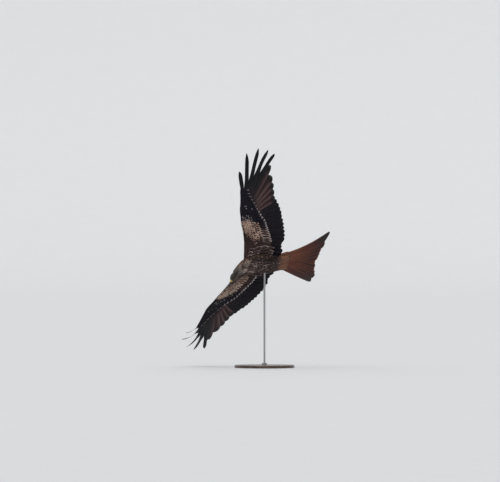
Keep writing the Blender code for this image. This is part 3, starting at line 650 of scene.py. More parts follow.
def tail_bend(wing):
    side = WING_POSE[wing]["side"]
    base = TAIL_ROOT[0] + 0.2153

    def bend(plan, rise):
        back, aside = plan[..., 0], plan[..., 1]
        turned = np.maximum(aside, 0.0) / (np.maximum(back, 0.02) * sin(radians(TAIL_FAN)) + TAIL_ROOT[1])
        reach = back / TAIL_LENGTH
        part = np.clip((back - base) / (0.227 + 0.048 * turned), 0.0, 1.0)
        bow = TAIL_BOW[wing] * 4 * part * (1 - part) * np.minimum(turned, 1.0)
        fan = (TAIL_RISE[wing] + TAIL_DROOP) * np.minimum(turned, 1.2) ** 2
        height = (fan - TAIL_DROOP) * reach**2 + rise
        return place(np.stack((
            TAIL_ROOT[0] - back, side * (aside - bow), TAIL_ROOT[2] + height), -1))

    return bend


def tail_looks(wing, rows, feathers, around):
    """Rufous, darker towards the end and on the outermost feathers, with a tawny tip. The left half is painted
    lighter and more orange, as painted light shining through it, and the right half darker, as painted shade.
    """
    t = np.broadcast_to(rows, (feathers, len(rows)))
    outermost = smooth_step((np.arange(feathers) - 3.2) / 1.8)[:, None]
    # Left and right tones differ only by light: painted light shining through the left half, painted shade on
    # the right half.
    base = {"left": (0.165, 0.058, 0.036), "right": (0.108, 0.037, 0.028)}[wing]
    middle = {"left": (0.085, 0.032, 0.025), "right": (0.056, 0.023, 0.023)}[wing]
    under = mix(base, middle, smooth_step((t - 0.25) / 0.35))
    under = mix(under, (0.048, 0.021, 0.023), smooth_step((t - 0.62) / 0.22))
    under = mix(under, (0.034, 0.031, 0.028), outermost * smooth_step((t - 0.62) / 0.35))
    under = mix(under, (0.24, 0.165, 0.11), (1 - 0.8 * outermost) * 0.7 * smooth_step((t - 0.962) / 0.02))
    upper = mix((0.36, 0.135, 0.055), (0.26, 0.095, 0.045), smooth_step((t - 0.4) / 0.4))
    upper = mix(upper, (0.060, 0.038, 0.030), outermost * smooth_step((t - 0.7) / 0.25))
    return {"core": two_sided(under, upper, around), "edge": (0.09, 0.045, 0.034),
            "streak": 0.30, "bars": 0.12}


def tail_feathers(wing, finish):
    """One half of the tail; the left middle feather reaches over the right one."""
    tips = np.array(TAIL_TIPS[wing])
    roots = np.stack((np.full(6, 0.030), np.linspace(0.004, 0.022, 6)), -1)
    rear_round = np.array((0.024, 0.024, 0.026, 0.030, 0.034, 0.065))
    bluntness = np.array((2.0, 2.0, 2.0, 2.0, 1.8, 1.15))
    front, rear = round_blades(roots, tips, 0.012, 0.046, 0.008, rear_round, 0.0, bluntness)
    beside = 0.0002 + 0.0006 * np.arange(6)[:, None]
    level = np.ones(front.shape[:2])
    rise_rear = -level * TAIL_TILT
    if wing == "left":
        beside[0] = -0.006
        rise_rear[0] = TAIL_TILT
    rear[..., 1] = np.maximum(rear[..., 1], beside)
    rings, across, along, brink = vane_rings(
        tail_bend(wing), front, rear, SHAFT_PART["tail"], level * TAIL_TILT, rise_rear, FLIGHT_THICKNESS)
    tail = Plumage("feathers_tail_" + wing)
    tail.add(rings, across, along, brink, strips(6), **tail_looks(wing, BLADE_ROWS, 6, rings.shape[2]))
    tail.build(finish, "plumage_tail", "tail_" + wing)
    return tail


# Coverts: the line of their hindmost tips on the left wing's plan, and the lie of the feathers in
# degrees from outwards, over out: in the middle of the wing and along its front edge.
COVERT_TIPS = (
    (-0.030, -0.110), (0.109, -0.095), (0.146, -0.081), (0.184, -0.063), (0.219, -0.046),
    (0.254, -0.028), (0.292, 0.000), (0.330, 0.027), (0.373, 0.057), (0.416, 0.086),
    (0.459, 0.115), (0.502, 0.141),
)
TIPS_FORWARD = {"left": 0.0, "right": 0.018}
MIDDLE_LIE = (
    (-0.030, -92), (0.100, -91), (0.200, -90), (0.260, -86), (0.300, -81), (0.340, -75),
    (0.375, -69), (0.416, -57), (0.459, -38), (0.502, -15),
)
FRONT_LIE = ((-0.030, -88), (0.200, -78), (0.300, -62), (0.360, -42), (0.420, -18), (0.500, 0))
# Rows: place from the front edge (0) to the line of tips (1), length, half width and spacing.
COVERT_ROWS = (
    (0.05, 0.014, 0.0045, 0.0070), (0.10, 0.017, 0.0052, 0.0082), (0.16, 0.021, 0.0060, 0.0095),
    (0.23, 0.025, 0.0068, 0.0110), (0.31, 0.029, 0.0076, 0.0124), (0.40, 0.033, 0.0084, 0.0136),
    (0.50, 0.037, 0.0090, 0.0146), (0.60, 0.041, 0.0096, 0.0154), (0.71, 0.046, 0.0102, 0.0162),
    (1.00, 0.074, 0.0118, 0.0172),
)
HAND_SPREAD = 1.45
BUFF_PATCH = {
    "left": (
        (0.288, 0.165), (0.282, 0.144), (0.294, 0.109), (0.280, 0.075), (0.263, 0.043), (0.228, 0.008),
        (0.177, -0.024), (0.130, -0.041), (0.108, -0.031), (0.102, -0.005), (0.128, 0.036),
        (0.171, 0.074), (0.201, 0.110), (0.245, 0.146),
    ),
    "right": (
        (0.268, 0.160), (0.264, 0.103), (0.244, 0.065), (0.234, 0.022), (0.192, -0.005),
        (0.150, -0.032), (0.116, -0.047), (0.080, -0.052), (0.058, -0.020), (0.094, 0.030),
        (0.125, 0.066), (0.165, 0.095), (0.205, 0.132),
    ),
}
PATCH_TONE = {"left": (1.12, 1.12, 1.12), "right": (1.22, 1.32, 1.34)}
SPOTTED = {"left": 0.42, "right": 0.50}
SPOTS_FORWARD = {"left": 0.0, "right": 0.010}
WRIST_SPOTS = (
    (0.382, 0.141), (0.365, 0.124), (0.367, 0.089), (0.316, 0.154), (0.313, 0.111), (0.300, 0.149),
    (0.301, 0.124), (0.295, 0.089), (0.281, 0.068),
)
LADDER = {
    "left": {"start": 0.098, "tone": (0.52, 0.41, 0.38), "rim": 0.0048, "outlined": 1.0},
    "right": {"start": 0.050, "tone": (0.52, 0.46, 0.47), "rim": 0.0090, "outlined": 0.0},
}
LADDER_END = 0.207


def inside_distance(outline, points):
    """Distance from points to a closed outline, positive inside it."""
    corners = np.array(outline)
    start, end = corners, np.roll(corners, -1, 0)
    edge = end - start
    offset = points[:, None, :] - start
    share = np.clip((offset * edge).sum(-1) / (edge**2).sum(-1), 0, 1)
    distance = np.linalg.norm(offset - share[..., None] * edge, axis=-1).min(1)
    y = points[:, None, 1]
    crosses = (start[:, 1] > y) != (end[:, 1] > y)
    rise = np.where(edge[:, 1] == 0, 1.0, edge[:, 1])
    at = start[:, 0] + (y - start[:, 1]) * edge[:, 0] / rise
    inside = (crosses & (points[:, None, 0] < at)).sum(1) % 2 == 1
    return np.where(inside, distance, -distance)


def covert_row(place_part, length, half, spacing, shifted, forward, rng):
    """Roots, directions, lengths and tips of one row of coverts."""
    outs = [-0.022 + shifted * spacing / 2]
    while outs[-1] < 0.500:
        outs.append(outs[-1] + spacing * mix(1.0, HAND_SPREAD, smooth_step((outs[-1] - 0.16) / 0.24)))
    outs = np.array(outs) + rng.normal(0, spacing * 0.08, len(outs))
    front = through(LEADING_EDGE, outs)
    line = through(COVERT_TIPS, outs) + forward
    tips = np.stack((outs, front + (line - front) * place_part), -1)
    tips[:, 1] += rng.normal(0, 0.0009, len(outs))
    lie = mix(through(FRONT_LIE, outs), through(MIDDLE_LIE, outs), min(1.0, place_part * 1.4))
    angles = np.radians(lie + rng.normal(0, 3.0, len(outs)))
    narrow = np.clip((front - line) / 0.17, 0.45, 1.0)
    lengths = length * mix(0.55, 1.0, narrow) * rng.uniform(0.92, 1.08, len(outs))
    aim = np.stack((np.cos(angles), np.sin(angles)), -1)
    roots = tips - aim * lengths[:, None]
    roots[:, 1] = np.minimum(roots[:, 1], through(LEADING_EDGE, roots[:, 0]) - 0.0012)
    widen = mix(1.0, HAND_SPREAD * 0.85, smooth_step((outs - 0.16) / 0.24))
    return roots, angles, lengths, half * widen, tips


def under_looks(wing, tips, lengths, row, rng):
    """Markings of the under-coverts: a buff patch on the arm, pale tips in line, dark elsewhere."""
    last = row == len(COVERT_ROWS) - 1
    shift = np.array((0.0, SPOTS_FORWARD[wing]))
    out, fore = tips.T
    chance = rng.uniform(0, 1, len(tips))
    depth = inside_distance(BUFF_PATCH[wing], tips)
    fading = smooth_step((fore - 0.01) / 0.05) * smooth_step((0.22 - out) / 0.06)
    pale = smooth_step(0.5 + (depth + rng.normal(0, 0.0075, len(tips))) / mix(0.022, 0.055, fading))
    dark = mix(DARK_BROWN, UMBER, smooth_step((out - 0.08) / 0.06))
    dark = mix(dark, BLACKISH, smooth_step((out - 0.16) / 0.12))
    inside = smooth_step((depth - 0.004) / 0.02)
    spotted = smooth_step((chance - SPOTTED[wing]) / 0.3)
    core = mix(dark, mix(np.array(DARK_BROWN) * 0.8, (0.160, 0.098, 0.080), inside * spotted), pale)
    edge = mix(dark * 2.2, mix(BUFF, PALE_BUFF, chance) * np.array(PATCH_TONE[wing]), pale)
    edge = mix(edge, GREYISH, pale * smooth_step((out - 0.265) / 0.03) * 0.8)
    edge = mix(edge, (0.34, 0.195, 0.140), pale * np.maximum(smooth_step((0.155 - out) / 0.05), fading) * 0.6)
    widest = COVERT_ROWS[row][2] * 0.55
    rim = mix(0.0008, np.minimum(mix(0.0036, 0.0052, chance), widest), smooth_step(pale * 1.6))
    tip_only = np.zeros(len(tips))
    spots = np.min(np.linalg.norm(tips[:, None] - np.array(WRIST_SPOTS) - shift, axis=-1), 1) < 0.009
    edge[spots] = GREYISH
    rim[spots] = 0.0060
    tip_only[spots] = 1.0
    if last:
        steps = LADDER[wing]
        ladder = smooth_step((out - steps["start"]) / 0.010) * smooth_step((LADDER_END - out) / 0.010)
        core = mix(core, DARK_BROWN, ladder)
        beyond = smooth_step((out - steps["start"]) / 0.008)
        hand = smooth_step((out - 0.31) / 0.06)
        edge = mix(dark * 1.6, mix(np.array(GREYISH), (0.17, 0.145, 0.15), hand), beyond)
        edge = mix(edge, steps["tone"], ladder)
        rim = mix(0.0010, mix(mix(0.0100, 0.0065, hand), steps["rim"], ladder), beyond)
        tip_only = beyond * (1 - ladder * steps["outlined"])
    t = SMALL_ROWS
    kept = 1 - tip_only[:, None] * (1 - smooth_step((t - 0.84) / 0.06))
    return {"core": core, "edge": edge, "rim": rim[:, None] * kept, "streak": 0.4 * pale}


def upper_looks(wing, tips, lengths, row, rng):
    """Markings above: rufous-brown small coverts, a pale band of median ones, dark hand."""
    out, fore = tips.T
    share = COVERT_ROWS[row][0]
    chance = rng.uniform(0, 1, len(tips))
    hand = smooth_step((out - 0.27) / 0.08)
    band = smooth_step((share - 0.42) / 0.12) * (1 - smooth_step((share - 0.84) / 0.1)) * (1 - hand)
    core = mix(np.array((0.080, 0.045, 0.030)), (0.045, 0.030, 0.024), chance)
    core = mix(core, (0.105, 0.070, 0.045), band * 0.7)
    core = mix(core, (0.032, 0.024, 0.022), np.maximum(hand, share > 0.95) * 0.8)
    edge = mix(np.array((0.20, 0.105, 0.060)), (0.32, 0.225, 0.145), np.maximum(band, chance * 0.3))
    edge = mix(edge, (0.085, 0.055, 0.042), hand * 0.8)
    rim = mix(0.0012, 0.0026, band) + 0.0006 * chance
    return {"core": core, "edge": edge, "rim": rim[:, None], "streak": 0.7}


def wing_coverts(wing, face, finish):
    """All coverts of one side of a wing as one piece, with the long feathers next to the body."""
    rng = np.random.default_rng(31 + 7 * face + len(wing))
    below = face < 0
    coat = Plumage("coverts_" + wing + ("_under" if below else "_upper"))
    forward = TIPS_FORWARD[wing] if below else -0.012
    looks = under_looks if below else upper_looks
    for row, (share, length, half, spacing) in enumerate(COVERT_ROWS):
        roots, angles, lengths, halves, tips = covert_row(
            share, length, half, spacing, row % 2, forward, rng)
        lift = (-0.0006, 0.0013 if row < 9 else 0.0018)
        lay_on_wing(wing, face, coat, roots, angles, lengths, halves,
                    looks(wing, tips, lengths, row, rng), lift=lift)
    inner_coverts(wing, face, coat, rng)
    coat.build(finish, "plumage_brown")
    return coat


# Long feathers next to the body: place of the roots, shift outwards and length of each row.
INNER_ROWS = (
    (0.060, 0.006, 0.038), (0.034, 0.0, 0.066), (-0.006, 0.011, 0.084), (-0.044, 0.0, 0.084),
)


def inner_coverts(wing, face, coat, rng):
    """Axillaries below and scapulars above: long feathers that lie back over the wing's root."""
    for row, (fore, first, length) in enumerate(INNER_ROWS):
        outs = np.arange(-0.022 + first, 0.066, 0.0220)
        count = len(outs)
        fores = fore + rng.normal(0, 0.003, count) - outs * 0.1
        roots = np.stack((outs, fores), -1)
        angles = np.radians(-78 - outs * 90 + rng.normal(0, 3.0, count))
        lengths = length * rng.uniform(0.90, 1.1, count)
        chance = rng.uniform(0, 1, count)
        if face < 0:
            core = mix(np.array((0.036, 0.022, 0.023)), (0.060, 0.038, 0.037), chance)
            edge = mix(np.array((0.24, 0.175, 0.17)), (0.56, 0.45, 0.42), chance**1.5)
            rim = 0.0024 + 0.0012 * chance
        else:
            core = mix(np.array((0.040, 0.026, 0.020)), (0.060, 0.037, 0.026), chance)
            edge = mix(np.array((0.17, 0.095, 0.055)), (0.26, 0.16, 0.10), chance)
            rim = 0.0016 + 0.0008 * chance
        lay_on_wing(wing, face, coat, roots, angles, lengths, np.full(count, 0.0136),
                    {"core": core, "edge": edge, "rim": rim[:, None], "streak": 0.4},
                    lift=(0.0006, 0.0036), bend=rng.normal(0, 0.02, count))


def alula(wing, finish):
    """Three stiff feathers of the thumb on top of the front edge."""
    thumb = Plumage("feathers_" + wing + "_alula")
    starts = np.array((0.300, 0.306, 0.312))
    ends = np.array((0.372, 0.390, 0.405))
    setback = np.array((0.022, 0.017, 0.012))
    roots = np.stack((starts, through(LEADING_EDGE, starts) - setback), -1)
    tips = np.stack((ends, through(LEADING_EDGE, ends) - setback), -1)
    front, rear = round_blades(roots, tips, 0.0045, 0.009, 0.05, 0.03, 0.01)
    lifts = (0.0040 - 0.0012 * np.arange(3))[:, None] * np.ones(front.shape[:2])
    over = wing_half_height((front + rear) / 2)
    rings, across, along, brink = vane_rings(
        wing_bend(wing), front, rear, 0.33, over + lifts, over + lifts - 0.001, FLIGHT_THICKNESS)
    thumb.add(rings, across, along, brink, strips(3), core=(0.028, 0.023, 0.022),
              edge=(0.05, 0.04, 0.036), rim=0.0008, streak=0.6)
    thumb.build(finish, "plumage_dark", "wing_" + wing + "_alula")
    return thumb


FLESH = ("trunk", "tail_base", "neck", "head", "leg_left", "leg_right", "wing_left_arm",
         "wing_left_hand", "wing_right_arm", "wing_right_hand")
VOXEL = 0.0024
GROWTH = 0.0008


def joined_flesh():
    """One smooth closed mesh around all flesh nodes, GROWTH outside them."""
    shape = bmesh.new()
    for name in FLESH:
        shape.from_mesh(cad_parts[name].data)
    bmesh.ops.remove_doubles(shape, verts=shape.verts, dist=0.00002)
    bmesh.ops.recalc_face_normals(shape, faces=shape.faces)
    shape.normal_update()
    for vert in shape.verts:
        vert.co += vert.normal * GROWTH
    mesh = bpy.data.meshes.new("form")
    shape.to_mesh(mesh)
    shape.free()
    body = bpy.data.objects.new("form", mesh)
    bpy.context.scene.collection.objects.link(body)
    remesh = body.modifiers.new("one skin", "REMESH")
    remesh.mode = "VOXEL"
    remesh.voxel_size = VOXEL
    relax = body.modifiers.new("smooth", "SMOOTH")
    relax.factor = 0.5
    relax.iterations = 4
    settled = bpy.data.meshes.new_from_object(body.evaluated_get(bpy.context.evaluated_depsgraph_get()))
    bpy.data.objects.remove(body)
    return settled


def mesh_points(mesh):
    points = np.zeros(len(mesh.vertices) * 3)
    mesh.vertices.foreach_get("co", points)
    return points.reshape(-1, 3)


def mesh_normals(mesh):
    normals = np.zeros(len(mesh.vertices) * 3)
    mesh.vertex_normals.foreach_get("vector", normals)
    return normals.reshape(-1, 3)


def resting_surface(form, *names):
    """What small feathers lie on: the form together with other named nodes."""
    points = [Vector(v.co) for v in form.vertices]
    faces = [tuple(f.vertices) for f in form.polygons]
    for name in names:
        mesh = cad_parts[name].data
        first = len(points)
        points += [v.co.copy() for v in mesh.vertices]
        faces += [tuple(first + k for k in f.vertices) for f in mesh.polygons]
    return BVHTree.FromPolygons(points, faces)


# A feather is left out where its tip would stand this far off, or its lie point this steeply away.
STRAY = 0.004
STEEPEST = 0.93


def drape(surface, root, aim, length, half, shape, lift, thickness):
    """Rings of one small feather that follows the surface, or None if it's buried or stands off."""
    point, normal, _, gap = surface.find_nearest(root)
    if point is None or gap > 0.005:
        return None
    start = aim.normalized()
    if abs(start.dot(normal)) > STEEPEST:
        return None
    rings = []
    travelled = 0.0
    for row, width in zip(SMALL_ROWS, shape):
        step = row * length - travelled
        travelled = row * length
        if step > 0:
            guess = point + aim * step
            found, turned, _, gap = surface.find_nearest(guess)
            if turned.dot(normal) > 0.35 and gap < 0.6 * step + 0.002:
                point, normal = found, (normal + turned * 2).normalized()
            else:
                point = guess
        aim = (aim - normal * aim.dot(normal)).normalized()
        side = normal.cross(aim)
        rise = lift[0] + (lift[1] - lift[0]) * row**0.8
        reach = half * width
        edges = []
        for way in (1, -1):
            edge = point + side * (reach * way)
            found, turned, _, gap = surface.find_nearest(edge)
            if turned.dot(normal) > 0.5 and gap < 0.5 * reach + 0.001:
                edge = found
            edges.append(edge + normal * rise)
        crown = point + normal * (rise + 0.12 * reach)
        half_thick = normal * (thickness / 2)
        rings.append((edges[0], crown + half_thick, edges[1], crown - half_thick))
    gap = surface.find_nearest(point)[3]
    return rings if gap < STRAY and abs(aim.dot(start)) > 0.5 else None


def lay_on_form(surface, plumage, roots, aims, lengths, halves, unwrap, looks, lift,
                shape=LANCE_SHAPE, thickness=0.00035):
    """Drapes a batch of small feathers and adds those that found room."""
    rings, kept = [], []
    for k, (root, aim) in enumerate(zip(roots, aims)):
        ring = drape(surface, Vector(root), Vector(aim), lengths[k], halves[k], shape, lift[k], thickness)
        if ring is not None:
            rings.append(ring)
            kept.append(k)
    if not kept:
        return
    across, along, brink = small_feather(halves[kept], lengths[kept], shape)
    chosen = {key: value[kept] if np.ndim(value) and len(value) == len(roots) else value
              for key, value in looks.items()}
    plumage.add(np.array(rings), across, along, brink, patches_at(unwrap[kept]), **chosen)


def body_frame(t):
    """Centre, half width, heights and axes (ahead, left, up) of the body at stations t."""
    numbers = np.arange(len(BODY))
    columns = [through(list(zip(numbers, values)), t) for values in zip(*BODY)]
    last = len(BODY) - 1

    def centre(at):
        return np.stack([through(list(zip(numbers, values)), at) for values in list(zip(*BODY))[:3]], -1)

    ahead = centre(np.minimum(t + 0.2, last)) - centre(np.maximum(t - 0.2, 0))
    ahead /= np.linalg.norm(ahead, axis=-1, keepdims=True)
    left = np.cross((0, 0, 1), ahead)
    left /= np.linalg.norm(left, axis=-1, keepdims=True)
    return np.stack(columns[:3], -1), columns[3:], ahead, left, np.cross(ahead, left)


# Contour feathers of the body: length below and above, by station from tail (0) to neck (10).
LENGTH_BELOW = ((0, 0.052), (1.5, 0.058), (3, 0.068), (5, 0.062), (6.5, 0.045), (8, 0.027), (10, 0.014))
LENGTH_ABOVE = ((0, 0.050), (1.5, 0.048), (3, 0.044), (5, 0.040), (6.5, 0.032), (8, 0.021), (10, 0.013))
ROW_PITCH = ((0, 0.34), (2, 0.46), (3, 0.60), (5, 0.60), (6.5, 0.44), (8, 0.32), (10, 0.28))
BODY_SPACING = 1.50
NARROWNESS = 0.22


def body_looks(t, angle, rng):
    """Markings of the body; the angle is 0 at the left and 90 degrees along the back."""
    chance = rng.uniform(0, 1, len(t))
    above = smooth_step(0.5 + np.sin(angle) * 1.2)
    core = mix(np.array((0.022, 0.014, 0.015)), (0.040, 0.026, 0.025), chance)
    edge = mix(np.array((0.085, 0.060, 0.058)), (0.50, 0.38, 0.35), chance**2.5)
    breast = smooth_step((t - 6.0) / 1.5)
    blotch = smooth_step(0.5 + 0.9 * np.sin(3.7 * angle + 1.1 * t) * np.sin(2.9 * t + 1.3))
    core = mix(core, mix(np.array((0.020, 0.013, 0.013)), (0.045, 0.028, 0.025), blotch), breast * 0.8)
    clear = np.clip(blotch * 0.75 + chance * 0.3, 0, 1) ** 1.7
    pale = mix(np.array((0.105, 0.070, 0.062)), (0.68, 0.53, 0.44), clear)
    edge = mix(edge, pale, breast)
    core = mix(core, (0.078, 0.046, 0.041), 0.7 * (1 - smooth_step((t - 2.6) / 1.5)))
    vent = 1 - smooth_step((t - 2.1) / 1.3)
    core = mix(core, mix(np.array((0.145, 0.062, 0.038)), (0.23, 0.105, 0.064), chance), vent)
    edge = mix(edge, mix(np.array((0.26, 0.14, 0.095)), (0.36, 0.22, 0.15), chance), vent)
    back = mix(np.array((0.040, 0.025, 0.019)), (0.070, 0.041, 0.028), chance)
    back = mix(back, (0.16, 0.062, 0.032), vent)
    back_edge = mix(np.array((0.17, 0.095, 0.055)), (0.28, 0.17, 0.105), chance)
    core, edge = mix(core, back, above), mix(edge, back_edge, above)
    # The neck takes the head's greys, which are darker than the bird's own pale grey: painted shade.
    neck = smooth_step((t - 8.7) / 1.3)
    core = mix(core, mix(SHADED_ASH, (0.055, 0.043, 0.036), chance), neck)
    edge = mix(edge, SHADED_PALE_ASH, neck * 0.8)
    rim = mix(0.0021 + 0.0010 * chance, 0.0009 + 0.0004 * chance, np.maximum(neck, breast * 0.2))
    return {"core": core, "edge": edge, "rim": rim, "streak": 0.6 + 0.4 * neck}


def body_plumage(surface, finish):
    """Neck, breast, belly, vent, back and rump, in overlapping rows from the neck back."""
    rng = np.random.default_rng(5)
    coats = {"body_front": Plumage("plumage_breast_and_neck"), "body_rear": Plumage("plumage_belly_and_back")}
    fine = np.linspace(0, len(BODY) - 1, 400)
    centres = body_frame(fine)[0]
    travelled = np.concatenate(([0], np.cumsum(np.linalg.norm(np.diff(centres, axis=0), axis=1))))
    place_at, row = travelled[-1] + 0.004, 0
    while place_at > 0.008:
        t = float(np.interp(place_at, travelled, fine))
        below, above = float(through(LENGTH_BELOW, t)), float(through(LENGTH_ABOVE, t))
        mean = (below + above) / 2
        _, (half, high, low), *_ = body_frame(np.array([t]))
        girth = pi * (half[0] + (high[0] + low[0]) / 2)
        count = max(6, round(girth / (mean * NARROWNESS * BODY_SPACING)))
        angle = (np.arange(count) + 0.5 * (row % 2) + rng.uniform(-0.16, 0.16, count)) * 2 * pi / count
        stations = t + rng.normal(0, 0.04, count)
        centre, (half, high, low), ahead, left, up = body_frame(np.clip(stations, 0, len(BODY) - 1))
        tall = np.where(np.sin(angle) > 0, high, low)
        local = centre + left * (half * np.cos(angle))[:, None] + up * (tall * np.sin(angle))[:, None]
        sway = rng.normal(0, 0.07, count)
        outward = left * np.cos(angle)[:, None] * 0.10
        aims = (-ahead + outward + left * sway[:, None]) @ ATTITUDE.T
        lengths = np.where(np.sin(angle) > 0, above, below) * rng.uniform(0.88, 1.1, count)
        depth = np.interp(t, (0, 2, 5, 8, 10), (0.0012, 0.003, 0.004, 0.003, 0.0022))
        lift = np.column_stack((np.full(count, -depth), rng.uniform(0.0000, 0.0012, count)))
        unwrap = np.stack((angle / (2 * pi) % 1.0, np.full(count, place_at / travelled[-1])), -1)
        coat = coats["body_front" if t > 6.2 else "body_rear"]
        lay_on_form(surface, coat, place(local), aims, lengths, lengths * NARROWNESS, unwrap,
                    body_looks(stations, angle, rng), lift,
                    shape=LANCE_SHAPE if t > 6.8 else ROUND_SHAPE)
        place_at -= mean * float(through(ROW_PITCH, t))
        row += 1
    for coat in coats.values():
        coat.build(finish, "plumage_brown")
    return list(coats.values())


# Where the filled vent meets tail and belly, and the rows of its feathers: place along the body, reach
# to each side and length.
VENT_ENDS = (
    (-0.245, 0.057, 0.0135), (-0.245, 0.010, 0.0120), (-0.211, 0.024, -0.0095), (-0.211, 0.010, -0.0095),
    (-0.030, 0.045, -0.0372), (-0.030, 0.020, -0.0525),
)
VENT_ROWS = (
    (-0.212, 0.058, 0.052), (-0.200, 0.058, 0.056), (-0.187, 0.057, 0.060), (-0.174, 0.056, 0.062),
    (-0.161, 0.054, 0.062),
    (-0.148, 0.050, 0.060), (-0.134, 0.050, 0.058), (-0.119, 0.050, 0.058), (-0.103, 0.050, 0.060),
    (-0.085, 0.050, 0.062), (-0.066, 0.050, 0.064), (-0.045, 0.048, 0.064),
)
NAPE_REACH = 0.047


def vent_points():
    """Points around the hollows between thighs, folded feet, belly and tail."""
    points = [v.co for name in ("leg_left", "leg_right", "foot_left", "foot_right")
              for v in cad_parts[name].data.vertices]
    return points + [place((x, way * y, z)) for x, y, z in VENT_ENDS for way in (1, -1)]


def nape_points():
    """Points of the back of the head and the end of the neck around the crease between them."""
    skull = Vector(place(SKULL))
    ahead = Vector(ATTITUDE @ HEAD_AXES[:, 0])
    near = [v.co for name in ("head", "neck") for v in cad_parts[name].data.vertices
            if (v.co - skull).length < NAPE_REACH]
    return [point for point in near if (point - skull).dot(ahead) < 0.004]


def filled(form, points):
    """The form with the hollows between the points filled in."""
    shape = bmesh.new()
    for point in points:
        shape.verts.new(point)
    hull = bmesh.ops.convex_hull(shape, input=shape.verts)
    inside = [part for part in hull["geom_interior"] + hull["geom_unused"]
              if isinstance(part, bmesh.types.BMVert)]
    bmesh.ops.delete(shape, geom=list(set(inside)), context="VERTS")
    shape.from_mesh(form)
    mesh = bpy.data.meshes.new("filled")
    shape.to_mesh(mesh)
    shape.free()
    return mesh


def vent_plumage(surface, finish):
    """Long soft feathers from the belly back over thighs and folded feet to the tail's root."""
    rng = np.random.default_rng(17)
    coat = Plumage("plumage_vent")
    upwards = Vector(ATTITUDE @ (0, 0, 1.0))
    stations, places = np.arange(7), [BODY[k][0] for k in range(7)]
    for row, (x, reach, length) in enumerate(VENT_ROWS):
        aside = np.arange(-reach, reach + 0.001, 0.0150) + 0.0075 * (row % 2)
        roots = []
        for y in aside:
            below = Vector(place((x + rng.normal(0, 0.002), y, -0.10)))
            hit = surface.ray_cast(below, upwards)[0]
            roots.append(hit if hit is not None else below)
        count = len(aside)
        aims = np.column_stack((np.full(count, -1.0), aside * 1.2 + rng.normal(0, 0.05, count),
                                np.full(count, 0.10))) @ ATTITUDE.T
        lengths = length * rng.uniform(0.9, 1.1, count)
        lift = np.column_stack((np.full(count, -0.0015), rng.uniform(0.0008, 0.0018, count)))
        t = np.full(count, float(np.interp(x, places, stations)))
        unwrap = np.stack((0.5 + aside * 8, np.full(count, row / len(VENT_ROWS))), -1)
        lay_on_form(surface, coat, np.array(roots), aims, lengths, lengths * 0.20, unwrap,
                    body_looks(t, np.full(count, -pi / 2), rng), lift, shape=ROUND_SHAPE)
    coat.build(finish, "plumage_brown")
    return coat


# Small feathers of the head: length by distance ahead of the skull's middle.
HEAD_LENGTH = ((-0.031, 0.0135), (-0.010, 0.0105), (0.006, 0.0075), (0.018, 0.0050), (0.029, 0.0032))
EYE_CLEAR = 0.0063


def head_looks(ahead, angle, rng):
    chance = rng.uniform(0, 1, len(ahead))
    # The head's greys are darker than the bird's own pale grey: painted shade.
    core = mix(np.array((0.055, 0.052, 0.044)), SHADED_ASH, chance)
    edge = mix(np.array((0.17, 0.165, 0.145)), SHADED_PALE_ASH, chance)
    throat = smooth_step(-np.sin(angle) * 1.6 - 0.35)
    core = mix(core, (0.115, 0.085, 0.072), throat)
    edge = mix(edge, (0.36, 0.29, 0.24), throat)
    # A dark band along the side of the head behind the bill: partly the dark marking through the eye and ear
    # coverts, partly painted shade.
    cheek_mark_and_shade = np.exp(-(((np.sin(angle) - 0.05) / 0.34) ** 2)) * smooth_step((0.022 - ahead) / 0.006)
    core = mix(core, (0.022, 0.020, 0.017), cheek_mark_and_shade * 0.85)
    edge = mix(edge, (0.070, 0.065, 0.055), cheek_mark_and_shade * 0.85)
    rim = 0.0004 + 0.0004 * chance
    return {"core": core, "edge": edge, "rim": rim, "streak": 1.0}


